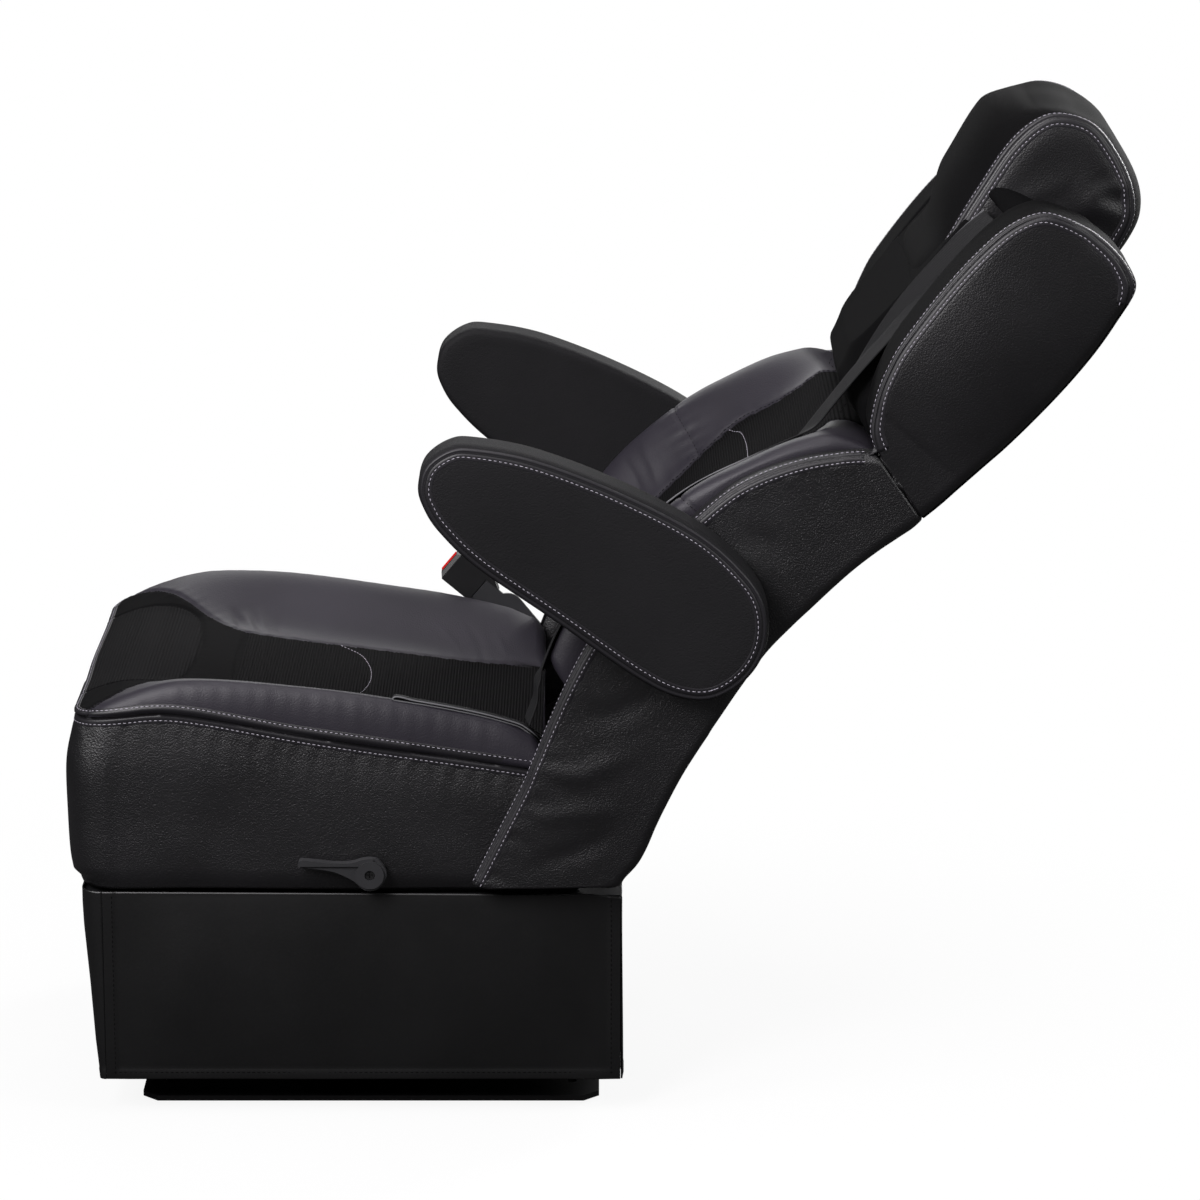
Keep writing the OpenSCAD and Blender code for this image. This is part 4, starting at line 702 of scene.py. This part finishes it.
def sideBand(name, frontKeys, backKeys, innerX, steps, ends, radius, material, sign, fill, field, node, puff):
    front, rear = (smoothCurve([(-a, b) for a, b in keys], steps) for keys in (frontKeys, backKeys))
    run = runAlong(0.5 * (front + rear))
    rings = []
    for f, b, at in zip(front, rear, run):
        tip = min(roundShare(at / ends[0]), roundShare((run[-1] - at) / ends[1]))
        width = np.linalg.norm(b - f)
        r = min(radius, 0.45 * width)
        outer = back["side"] - 0.7 * r * (1 - tip)
        inner = innerX(0.5 * (f[1] + b[1])) + 3 * (1 - tip)
        turn = np.radians(np.linspace(0, 90, 9))
        turn = [(outer - r + r * math.sin(a), r * (1 - math.cos(a))) for a in turn]
        ahead = [(x, 0.0) for x in np.linspace(inner + 2, outer - r, 12)[:-1]]
        section = np.array(ahead + turn + [(outer, d) for d in np.linspace(r, width - r, 34)[1:-1]]
                           + [(x, width - d) for x, d in turn[::-1]] + [(x, width) for x, d in ahead[::-1]]
                           + [(inner, d) for d in np.linspace(width - 1, 1, 10)])
        spot = f + section[:, 1:] / width * (b - f)
        rings.append(onBack(sign * section[:, 0], spot[:, 0], spot[:, 1]))
    piece = loft(name, rings, material, "backrest")
    co = coordinates(piece)
    x, v, u = onFront(co)
    co[:, 0] += np.sign(x) * smoothStep((np.abs(x) - back["face"]) / 3) * puff(v, u)
    reshape(piece, co)
    x = np.abs(co[:, 0])
    push(piece, field(x, v, u) * smoothStep((x - innerX(u) - 3) / 12))
    padding(piece, fill, node)
    return piece, front


def panelInner(u):
    return panel["inner"] - panel["step"] * smoothStep((np.asarray(u, float) - 178) / 10)


def panelField(x, v, u):
    flat = np.column_stack([v, u])
    d, place, _ = pathDistance(flat, np.array([(edgeV(k), k) for k in range(-110, 515, 25)], float))
    return (swells(v, u, 1.1, 42, 2.2) + gathers(np.maximum(d - 10, 0), place, 24, 0.7, 18) * (x > 270)
            + folds(flat, panelFolds, 11))


def panelPuff(v, u):  # how far the panel's face stands out
    return panel["puff"] * np.sin(math.pi * np.clip((u + 80) / 240, 0, 1)) * np.exp(-((v - 50) / 70) ** 2)


def wingPuff(v, u):
    across, along = np.clip((v + 50) / 155, 0, 1), np.clip((u - 560) / 275, 0, 1)
    return wing["puff"] * np.sin(math.pi * across) ** 0.8 * np.sin(math.pi * along) ** 0.6


def outlineSeam(name, surface, outline, heart, inset, x, shares):  # along a side face, inset from its outline
    slope = np.gradient(outline, axis=0)
    outward = unit(np.stack([slope[:, 1], -slope[:, 0]], -1))  # rearwards and up
    outward *= np.sign((outward * (outline - heart)).sum(1))[:, None]
    line = outline - inset * outward
    lift = (np.array([np.sign(x) * shares[0], 0, 0]) - shares[1] * outward[:, :1] * frontDir
            + shares[1] * outward[:, 1:] * upDir)
    seamStrip(name, "backrest", surface, onBack(x, -line[:, 0], line[:, 1]), lift)


for sign, label in ((1, "left"), (-1, "right")):
    side, front = sideBand("back_side_" + label, panelFront, panelBack, panelInner, 5, (8, 0.5),
                           panel["radius"], leatherBlack, sign, 0.75, panelField, "back_panel_" + label,
                           panelPuff)
    shoulder, _ = sideBand("back_shoulder_" + label, shoulderFront, shoulderBack,
                           lambda u: np.full_like(np.asarray(u, float), wing["inner"]), 9, (0.5, 15),
                           wing["radius"], leatherWing, sign, 0.8,
                           lambda x, v, u: swells(v + 0.5 * x, u, 1.1, 44, 3.1), "shoulder_" + label,
                           wingPuff)
    surface = surfaceOf(side, shoulder, lowerBack)
    edge = onBack(panel["seamX"][sign], front[:, 0] - panel["seamInset"], front[:, 1])
    seamStrip("wing_seam_" + label, "backrest", surface, edge[3:-4],
              0.74 * np.array([sign, 0, 0]) + 0.67 * frontDir)
    outlineSeam("shoulder_seam_" + label, surface, evenly(topTurn), wing["heart"], wing["seamInset"],
                sign * back["face"], (0.7, 0.72))
    crossing = onBack(sign * back["side"], np.linspace(50, -29, 40), np.linspace(522, 502, 40))
    seamStrip("crease_seam_" + label, "backrest", surface, crossing, (sign, 0, 0), plainProfile, (0,),
              "black", leatherBlack)
print("back sides made")

# the headrest: rings of its side outline, from one cheek over the middle to the other
head = {"half": 125.0, "swell": 13.0, "seamX": 124.6, "seamInset": 4.5}
headRing = smoothCurve([(22, 850), (12, 878), (-12, 901), (-47, 917), (-85, 924), (-117, 911), (-133, 889),
                        (-138, 848), (-130, 791), (-120, 731), (-113, 678), (-30, 660), (24, 730), (30, 800)],
                       13, True)
headFolds = [(2.4, (-10, 868), (28, 858), (64, 868)), (-2.2, (-14, 850), (20, 838), (50, 820)),
             (-1.6, (-8, 884), (14, 878), (50, 888)), (1.6, (4, 905), (30, 880), (34, 850)),
             (1.2, (100, 800), (80, 830), (60, 870))]
headSteps = [*smoothCurve([(0, -8), (28, -7.7), (56, -7), (76, -6.2), (94, -5), (106, -3.2), (113, -1.5),
                           (118, 0)], 4)[1:], (121.5, 1.0), (123.4, 2.4), (125, 4.5), (126.8, 8),
             (128.2, 12.5), (129.4, 18), (130, 24)]  # distance from the middle and inset
headSteps = [(x, inset, 1) for x, inset in headSteps]
headSteps += [(130.2, 26, share) for share in (0.93, 0.84, 0.72, 0.6, 0.48, 0.36, 0.24, 0.12)]
headSteps = [(-x, inset, share) for x, inset, share in headSteps[::-1]] + [(0.0, -8.0, 1)] + headSteps
low, size = headRing.min(0), np.ptp(headRing, axis=0)


def headInset(inset):
    middle = low + size / 2
    return middle + (headRing - middle) * (1 - 2 * inset / size)


def headSwelling(x, ring):  # the middle is fuller than the sides
    rearward, up = ring.T
    rear = 0.7 * smoothStep((rearward + 50) / 60) * smoothStep((up - 806) / 50)
    ahead = (1.8 * smoothStep((-80 - rearward) / 40) * smoothStep((up - 700) / 80)
             * smoothStep((902 - up) / 50))
    lower = 0.9 * smoothStep((-60 - rearward) / 40) * smoothStep((up - 880) / 35)
    return head["swell"] * max(0, 1 - abs(x / head["half"]) ** 3) * np.stack([rear - ahead, -lower], -1)


heart = headRing.mean(0)
rings = []
for x, inset, share in headSteps:
    ring = heart + (headInset(inset) - heart) * share
    ring = ring + headSwelling(x, ring)
    rings.append(onBack(x, -ring[:, 0], ring[:, 1]))
headrest = loft("headrest_pad", rings, leatherHead, "backrest")
x, v, u = onFront(coordinates(headrest))
push(headrest, swells(x, u + v, 1.0, 40, 0.9)
     + folds(np.column_stack([v, u]), headFolds, 8) * smoothStep((np.abs(x) - 122) / 6))
padding(headrest, 0.8, "headrest")
outline = headInset(head["seamInset"])
outline = np.roll(outline, -int(np.argmin(np.linalg.norm(outline - (20, 812), axis=1))), axis=0)
stop = int(np.argmin(np.linalg.norm(outline - (-114, 722), axis=1)))
for sign, label in ((1, "left"), (-1, "right")):
    outlineSeam("headrest_seam_" + label, surfaceOf(headrest), evenly(outline[:stop + 1]), heart, 0,
                sign * head["seamX"], (0.72, 0.7))
print("headrest made")

# the armrest pads: rings of their side outline as (y, z), from the inner to the outer face
arm = {"seamX": 344.6, "seamInset": 5.0, "swell": 0.7}
armRing = smoothCurve([(372, 489), (407, 512), (426, 549), (424, 593), (399, 631), (351, 672), (267, 716),
                       (183, 748), (120, 760), (94, 758), (70, 741), (62, 716), (67, 694), (84, 667),
                       (125, 627), (209, 568), (290, 511), (334, 490)], 13, True)
armSlope = np.gradient(armRing, axis=0)
armOut = unit(np.stack([armSlope[:, 1], -armSlope[:, 0]], -1))
armHeart = armRing.mean(0)
flats = (0.94, 0.87, 0.79, 0.7, 0.6, 0.5, 0.38, 0.26, 0.12)
armSteps = [(288.6, 7.5, s) for s in flats[::-1]]
armSteps += [(288.4, 7, 1), (289.2, 3.6, 1), (291, 1.6, 1), (294, 0.3, 1)]
armSteps += [(x, 0.0, 1) for x in np.linspace(297, 334, 11)]
armSteps += [(338, 0.5, 1), (341.2, 1.6, 1), (343.4, 3.2, 1), (344.8, 5.4, 1), (345.6, 8.5, 1),
             (346.3, 14, 1)]
armSteps += [(346.4 + 1.5 * (1 - s), 16, s) for s in flats]
piping = [(-6, -1.4), (-4.8, 0.0), (-3.4, -0.4), (-2.2, 0.9), (-0.6, 1.7), (1, 1.2), (2.2, -0.7), (3.6, 0.4),
          (5.4, 0.3), (6.6, 0.1), (8.2, 0.3), (9.4, 0.0), (10.4, -1.4)]
for sign, label in ((1, "left"), (-1, "right")):
    rings = []
    for x, inset, share in armSteps:
        ring = armHeart + (armRing - inset * armOut - armHeart) * share
        rings.append(np.column_stack([np.full(len(ring), sign * x), ring]))
    pad = loft("arm_pad_soft_" + label, rings, leatherArm, "armrest_" + label)
    x, y, z = coordinates(pad).T
    push(pad, np.minimum(swells(y, z, arm["swell"], 46, 1.9) * smoothStep((np.abs(x) - 292) / 8), 0.5))
    padding(pad, 0.85, "arm_pad_" + label)
    ring = armRing - arm["seamInset"] * armOut
    points = np.column_stack([np.full(len(ring), sign * arm["seamX"]), ring])
    lift = np.column_stack([np.full(len(ring), sign * 0.82), 0.57 * armOut])
    points, lift = (np.concatenate([a, a[:2]]) for a in (points, lift))
    seamStrip("arm_piping_" + label, "armrest_" + label, surfaceOf(pad), points, lift,
              [(-a, h) for a, h in piping[::-1]] if sign > 0 else piping, (-6.6 * sign,))
print("armrests made")

# the vinyl skirts: columns of points from the hem up to the rail
skirt = {"x": 255.4, "thick": 2.2, "low": 40.0, "top": 252.0, "front": -284.0, "rear": 273.0,
         "rearTop": 246.0, "hem": 10.0, "bulge": 5.0, "stitch": 48.0}
drop, depth = skirt["top"] - skirt["low"], skirt["rear"] - skirt["front"]
hemSteps = np.array([0, 0.7, 1.5, 9.5, 11, 12.5])


def skirtWave(along, z, seed):
    wave = 1.3 * np.sin(along / 47 + seed) + 0.8 * np.sin(along / 26 + 2 * seed + z / 70)
    return (skirt["top"] - z) / drop * wave


def doubled(fromEdge):  # 1 on the double cloth of a hem
    return 1 - smoothStep((fromEdge - skirt["hem"]) / 2)


def skirtSheet(name, columns, node):  # columns of outer points from the hem up, and the way out
    rings = []
    for outer, direction in columns:
        rings.append([*outer, *(outer - skirt["thick"] * 0.9 * np.array(direction))[::-1]])
    piece = loft(name, rings, vinyl, "seat")
    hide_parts(node)


def skirtHeights(top):
    tall = top - skirt["low"]
    return np.concatenate([hemSteps, np.linspace(16, tall - 4, 52), [tall - 2, tall]]) + skirt["low"]


sideSteps = np.concatenate([hemSteps, np.linspace(16, depth - 16, 150), depth - hemSteps[::-1]])
for sign, label in ((1, "left"), (-1, "right")):
    columns = []
    for step in sideSteps:
        y, left = step + skirt["front"], depth - step
        top = np.interp(step, (0, depth - 30, depth), (skirt["top"], 249, skirt["rearTop"]))
        z = skirtHeights(float(top))
        up = z - skirt["low"]
        wave = 0.55 * skirtWave(y, z, 1.0 + sign) * smoothStep(step / 30) * smoothStep(left / 25)
        hem = 0.55 * np.maximum(doubled(up), max(doubled(step - 1), doubled(left - 1)))
        bow = (skirt["bulge"] * np.sin(math.pi * np.clip((up - 12) / 196, 0, 1)) ** 0.8
               * smoothStep((step - 12) / 80) * smoothStep((left - 13) / 80))
        rim = -0.5 * (1 - np.minimum(up, 1))
        x = skirt["x"] + skirt["thick"] - 0.2 + np.maximum(wave, -0.1) + hem + rim + bow
        columns.append((np.stack([sign * x, np.full_like(z, y), z], -1), (sign, 0, 0)))
    skirtSheet("skirt_side_" + label, columns, "skirt_" + label)
    x, low = sign * (skirt["x"] + skirt["thick"] + 0.75), skirt["stitch"]
    for row in ([(x, -274, low), (x, 263, low)], [(x, -274, low), (x, -274, 246)],
                [(x, 263, low), (x, 263, 242)]):
        addRow("seat", row, "black")


def skirtReach(z):  # how far the front stands ahead of the rail
    return 23.4 * np.interp((z - skirt["low"]) / drop, [0, 0.2, 0.5, 0.8, 0.92, 1],
                            [0.3, 0.5, 0.7, 0.95, 1, 1])


railY, cornerX = skirt["front"] - 0.1, skirt["x"] + skirt["thick"]
z = skirtHeights(skirt["top"])
reach, hem = skirtReach(z), 0.5 * doubled(z - skirt["low"])
columns = []
for a in np.radians(np.linspace(0, 90, 15)):
    c, s = math.cos(a), math.sin(a)
    points = np.stack([cornerX - reach + (reach + hem) * c, railY - (reach + hem) * s, z], -1)
    columns.append((points, (c, -s, 0)))
farCorner = [(points * (-1, 1, 1), (-a, b, c)) for points, (a, b, c) in columns[::-1]]
for x in np.linspace(230, -230, 120):
    fall = 0.8 * np.maximum(skirtWave(x, z, 0.4), 0) * smoothStep((222 - abs(x)) / 40)
    columns.append((np.stack([np.full_like(z, x), railY - reach - fall - hem, z], -1), (0, -1, 0)))
skirtSheet("skirt_front", columns + farCorner, "skirt_front_panel")
rowY = railY - float(skirtReach(skirt["stitch"])) - 0.75
addRow("seat", [(x, rowY, skirt["stitch"]) for x in np.linspace(222, -222, 60)], "black")
columns = []
z = skirtHeights(skirt["rearTop"])
for x in np.linspace(-skirt["x"], skirt["x"], 110):
    wave = 0.9 * np.maximum(skirtWave(x, z, 2.2), 0) * smoothStep((skirt["x"] - abs(x)) / 30)
    y = 275.0 + wave + 0.4 * doubled(z - skirt["low"])
    columns.append((np.stack([np.full_like(z, x), y, z], -1), (0, 1, 0)))
skirtSheet("skirt_rear", columns, "skirt_rear_panel")
addRow("seat", [(x, 275.95, skirt["stitch"]) for x in np.linspace(-246, 246, 60)], "black")
print("skirts made")

# the belts: the shoulder belt runs down the back, the lap belt lies doubled on the cushion
belt = {"thick": 1.6, "lift": 3.0, "half": 23.0, "flat": 0.046, "lapHalf": 23.5, "lapX": 228.0,
        "lapThick": 1.35, "lapLift": 1.5, "layerGap": 1.75, "lapFlat": 0.047, "lapShare": 0.82}


def ribbon(name, inner, thickness, body):  # rows of points across the belt, given its thickness
    across, along = np.gradient(inner, axis=1), np.gradient(inner, axis=0)
    outer = inner + unit(np.cross(across, along)) * thickness
    shares = np.linspace(-0.5, 0.5, inner.shape[1])
    widths = np.linalg.norm(inner[:, -1] - inner[:, 0], axis=1)
    mark = widths[:, None] * np.concatenate([shares, shares[::-1]]) * 46 / np.max(widths)
    run = runAlong(inner[:, inner.shape[1] // 2])
    return loft(name, np.concatenate([inner, outer[:, ::-1]], axis=1), webbing, body,
                {"along": run[:, None], "across": mark}), run[-1] * mm


shoulderRun = smoothCurve([
    (163, 88, 779.5), (163, 97, 745), (164, 106, 700), (165, 110, 640), (167, 112, 580), (171, 112, 530),
    (177, 110, 485), (184, 108, 435), (194, 100, 380), (201, 100, 330), (206, 100, 280), (211, 100, 230),
    (216, 100, 180), (220, 100, 140), (223, 158, 106), (225, 147, 80), (227, 138, 56)], 10)
across = np.linspace(-belt["half"], belt["half"], 25)
rows = []
for x, v, u in shoulderRun:
    touch = np.where(u < back["foot"], 0, np.where(u < back["crease"], bolsterFront(x + across, u),
                                                   bibFront(x + across, u))) + belt["lift"]
    free = v - 0.25 * np.abs(across)
    away = 0.5 * (free + touch + np.sqrt((free - touch) ** 2 + 9))  # a soft version of the larger of the two
    rows.append(onBack(x + across, away - 0.6, u))
shoulderBelt, length = ribbon("belt_shoulder", eased(rows, 3)[:, ::-1], belt["thick"], "backrest")
x, y, z = coordinates(shoulderBelt).T
push(shoulderBelt, 0.35 * np.sin(z / 9.0) * np.sin(x / 15.0))
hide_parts("shoulder_belt")
print("shoulder belt", round(length / mm))

# over the cushion's rear edge: y, half width and middle x, and the heights
lapTurn = smoothCurve([(166, 23.5, 228), (178, 23.5, 228), (189, 20.5, 226), (192, 16.5, 223),
                       (197, 11, 212.5), (197, 11, 212.5)], 7)[1:]
lapZ = [(y, float(cushionTop(belt["lapX"], y)) + belt["lapLift"]) for y in (166.0, 178.0)]
lapZ = smoothCurve(lapZ + [(189, 409), (192, 380), (197, 336), (197, 268)], 7)[1:, 1]
shares = np.linspace(-1, 1, 25)
x = belt["lapX"] + shares * belt["lapHalf"]
rows = [np.stack([x, np.full_like(x, y), cushionTop(x, y) + belt["lapLift"]], -1)
        for y in np.arange(34, 167, 4.0)]
for (y, half, middle), z in zip(lapTurn, lapZ):
    x = middle + shares * half
    onSeat = min(y, 187.0)
    bend = np.interp(z, (380, 425), (0, 1)) * (cushionTop(x, onSeat) - cushionTop(middle, onSeat))
    rows.append(np.stack([x, np.full_like(x, y), z + bend], -1))
lower = eased(rows, 2)
upper = lower + unit(np.cross(np.gradient(lower, axis=1), np.gradient(lower, axis=0))) * belt["layerGap"]
swell = 2.4 * np.exp(-((lower[:, 0, 1] - 38) / 9.0) ** 2) * (lower[:, 0, 2] > 400)  # the fold at the front
upper[..., 2] += 0.7 * swell[:, None]
fold = []
for a in np.radians(np.linspace(15, 165, 7)):
    share = 0.5 - 0.5 * math.cos(a)
    fold.append(lower[0] * (1 - share) + upper[0] * share + np.array([0, -3.2 * math.sin(a), 0]))
layers = np.concatenate([lower[::-1], np.array(fold), upper])
lapBelt, length = ribbon("belt_lap", layers, belt["lapThick"], "seat")
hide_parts("lap_belt")
print("lap belt", round(length / mm))

# the hard pieces keep their shapes and get their materials by slot
screwBlack = moulded("screw_black", (0.002, 0.002, 0.0022), 0.6)
hardSlots = {"steel_black": metal("paint_black", (0.012, 0.012, 0.013), 0.42, 0.05, 0.00004, 0.0),
             "steel_zinc": metal("steel_zinc", (0.55, 0.55, 0.53), 0.34),
             "nylon": moulded("nylon_natural", (0.62, 0.6, 0.54), 0.45),
             "plastic_black": moulded("plastic_black", (0.026, 0.026, 0.028), 0.36, 1400, 0.00006),
             "buckle_black": moulded("buckle_black", (0.006, 0.006, 0.0065), 0.42, 700, 0.00002),
             "button_red": moulded("button_red", (0.6, 0.012, 0.01), 0.6, 900, 0.00003,
                                   Specular_IOR_Level=0.2),
             "shell_black": moulded("shell_black", (0.009, 0.009, 0.0095), 0.55, 320, 0.00016),
             "leather_black": leatherBlack, "leather_sheen": leatherSheen, "vinyl_black": vinyl,
             "webbing": webbing}
for part in frame["record"]["subparts"]:
    finishes = frame["nodes"][part["node"]].data.materials
    for k in range(len(finishes)):
        finishes[k] = screwBlack if part["node"] == "lever_screw" else hardSlots[part["material_slot"]]
print("hard pieces finished")

stitch = {"Spacing": 5.5, "Length": 3.9, "Thickness": 0.85, "Seed": 7, "blackThickness": 0.75}


def stitchTree():
    tree = bpy.data.node_groups.new("stitches", "GeometryNodeTree")

    def socket(label, kind, way="INPUT"):
        return tree.interface.new_socket(label, in_out=way, socket_type="NodeSocket" + kind)

    socket("Rows", "Geometry")
    for label in ("Spacing", "Length", "Thickness"):
        socket(label, "Float").default_value = stitch[label] * mm
    socket("Thread", "Material")
    socket("Stitches", "Geometry", "OUTPUT")

    def add(kind, inputs, **settings):  # inputs hold a value, or a node and the name of its output
        node = tree.nodes.new(kind)
        for key, value in settings.items():
            setattr(node, key, value)
        for key, value in inputs.items():
            if isinstance(value, tuple):
                tree.links.new(value[0].outputs[value[1]], node.inputs[key])
            else:
                node.inputs[key].default_value = value
        return node

    start = add("NodeGroupInput", {})
    curve = add("GeometryNodeMeshToCurve", {"Mesh": (start, "Rows")})
    spaced = add("GeometryNodeResampleCurve", {"Curve": (curve, "Curve"), "Length": (start, "Spacing")},
                 mode="LENGTH")
    bead = add("GeometryNodeMeshUVSphere", {"Segments": 6, "Rings": 4, "Radius": 0.5})
    tangent = add("GeometryNodeInputTangent", {})
    turn = add("FunctionNodeAlignEulerToVector", {"Vector": (tangent, 0)}, axis="X")
    wobble = add("FunctionNodeRandomValue", {2: 0.85, 3: 1.1, "Seed": stitch["Seed"]}, data_type="FLOAT")
    long = add("ShaderNodeMath", {0: (start, "Length"), 1: (wobble, 1)}, operation="MULTIPLY")
    size = add("ShaderNodeCombineXYZ", {0: (long, 0), 1: (start, "Thickness"), 2: (start, "Thickness")})
    copies = add("GeometryNodeInstanceOnPoints", {"Points": (spaced, "Curve"), "Instance": (bead, "Mesh"),
                                                  "Rotation": (turn, 0), "Scale": (size, 0)})
    real = add("GeometryNodeRealizeInstances", {0: (copies, 0)})
    smooth = add("GeometryNodeSetShadeSmooth", {0: (real, 0)})
    sewnOn = add("GeometryNodeSetMaterial", {"Geometry": (smooth, 0), "Material": (start, "Thread")})
    add("NodeGroupOutput", {"Stitches": (sewnOn, 0)})
    return tree


stitches = stitchTree()
sockets = {item.name: item.identifier for item in stitches.interface.items_tree if item.in_out == "INPUT"}
for (body, thread), rows in stitchRows.items():
    points, edges = [], []
    for row in rows:
        edges += [(len(points) + k, len(points) + k + 1) for k in range(len(row) - 1)]
        points += (np.asarray(row, float) * mm).tolist()
    mesh = bpy.data.meshes.new("rows")
    mesh.from_pydata(points, edges, [])
    helper = bpy.data.objects.new("rows", mesh)
    bpy.context.scene.collection.objects.link(helper)
    modifier = helper.modifiers.new("stitches", "NODES")
    modifier.node_group = stitches
    modifier[sockets["Thread"]] = threads[thread]
    if thread == "black":
        modifier[sockets["Thickness"]] = stitch["blackThickness"] * mm
    bpy.context.view_layer.update()
    sewnMesh = bpy.data.meshes.new_from_object(helper.evaluated_get(bpy.context.evaluated_depsgraph_get()))
    bpy.data.objects.remove(helper)
    piece = addPiece("stitches_" + thread + "_" + body, sewnMesh, body)
    print(piece.name, len(sewnMesh.polygons))

studio = {"floor": 6, "grey": 0.04, "lens": 36 * 5047.6 / 1200, "eye": (5.44257, 0.251, 1.86804), "pitch": 14}


def floorMaterial():  # white to the camera, with a faint shadow near the seat, and dark to the leather
    g = Graph("floor_pale")
    dark = g.add("ShaderNodeBsdfDiffuse", inputs={"Color": (0.05, 0.05, 0.05, 1)})
    pale = g.add("ShaderNodeBsdfDiffuse", inputs={"Color": (0.8, 0.8, 0.8, 1)})
    white = g.add("ShaderNodeEmission", inputs={"Color": (1, 1, 1, 1), "Strength": 1.0})
    reach = g.add("ShaderNodeVectorMath", {"operation": "LENGTH"}, {0: g.place()}, "Value")
    shadow = (1.0 - (reach - 0.5) * 1.4).most(0.0).least(1.0) * 0.1
    seen = g.add("ShaderNodeLightPath", out="Is Camera Ray")
    return g.close(g.blend(seen, dark, g.blend(shadow, white, pale)))


def onStage(name, data):
    thing = bpy.data.objects.new(name, data)
    bpy.context.scene.collection.objects.link(thing)
    return thing


def aim(thing, place, direction):
    thing.location = place
    thing.rotation_euler = Vector(direction).to_track_quat("-Z", "Y").to_euler()


floor = bpy.data.meshes.new("studio_floor")
floorCorners = [(x * studio["floor"], y * studio["floor"], -0.002)
                for x, y in ((-1, -1), (1, -1), (1, 1), (-1, 1))]
floor.from_pydata(floorCorners, [], [(0, 1, 2, 3)])
floor.materials.append(floorMaterial())
onStage("studio_floor", floor)
warm = (1.0, 0.97, 1.0)
for name, place, target, size, watts, colour in (
        ("top", (0.3, 0.2, 2.9), (0, 0.2, 0.5), (1.4, 2.4), 27, warm),
        ("front_side", (1.6, -2.6, 2.4), (0, 0.2, 0.55), (1.2, 1.4), 55, (1, 1, 1)),
        ("camera_side", (2.6, -1.2, 2.5), (0, 0.2, 0.55), (1.0, 1.6), 92, warm),
        ("rear_side", (1.6, 2.9, 2.2), (0, 0.4, 0.7), (1.2, 1.6), 40, (1, 1, 1)),
        ("far", (-2.6, -0.3, 1.8), (0, 0.2, 0.5), (1.4, 1.6), 15, (1, 1, 1)),
        ("far_rear", (-2.6, 2.4, 1.5), (0, 0.3, 0.4), (1.4, 1.6), 105, (1, 1, 1))):
    data = bpy.data.lights.new("softbox_" + name, "AREA")
    data.shape, data.size, data.size_y = "RECTANGLE", size[0], size[1]
    data.energy, data.color = watts, colour
    lamp = onStage("softbox_" + name, data)
    aim(lamp, place, Vector(target) - Vector(place))
world = bpy.data.worlds.new("studio")
world.use_nodes = True
bpy.context.scene.world = world
tree = world.node_tree
rays = tree.nodes.new("ShaderNodeLightPath")
seen = tree.nodes.new("ShaderNodeMath")  # 1 for the camera, a little for the object
seen.operation = "MULTIPLY_ADD"
tree.links.new(rays.outputs["Is Camera Ray"], seen.inputs[0])
seen.inputs[1].default_value, seen.inputs[2].default_value = 1 - studio["grey"], studio["grey"]
tree.nodes["Background"].inputs[0].default_value = (1, 1, 1, 1)
tree.links.new(seen.outputs[0], tree.nodes["Background"].inputs[1])

bpy.context.scene.view_settings.view_transform = "Standard"
camera = bpy.data.cameras.new("camera")
camera.sensor_width, camera.lens, camera.clip_end = 36, studio["lens"], 60
eye = onStage("camera", camera)
pitch = math.radians(studio["pitch"])
aim(eye, studio["eye"], (-math.cos(pitch), 0, -math.sin(pitch)))
bpy.context.scene.camera = eye
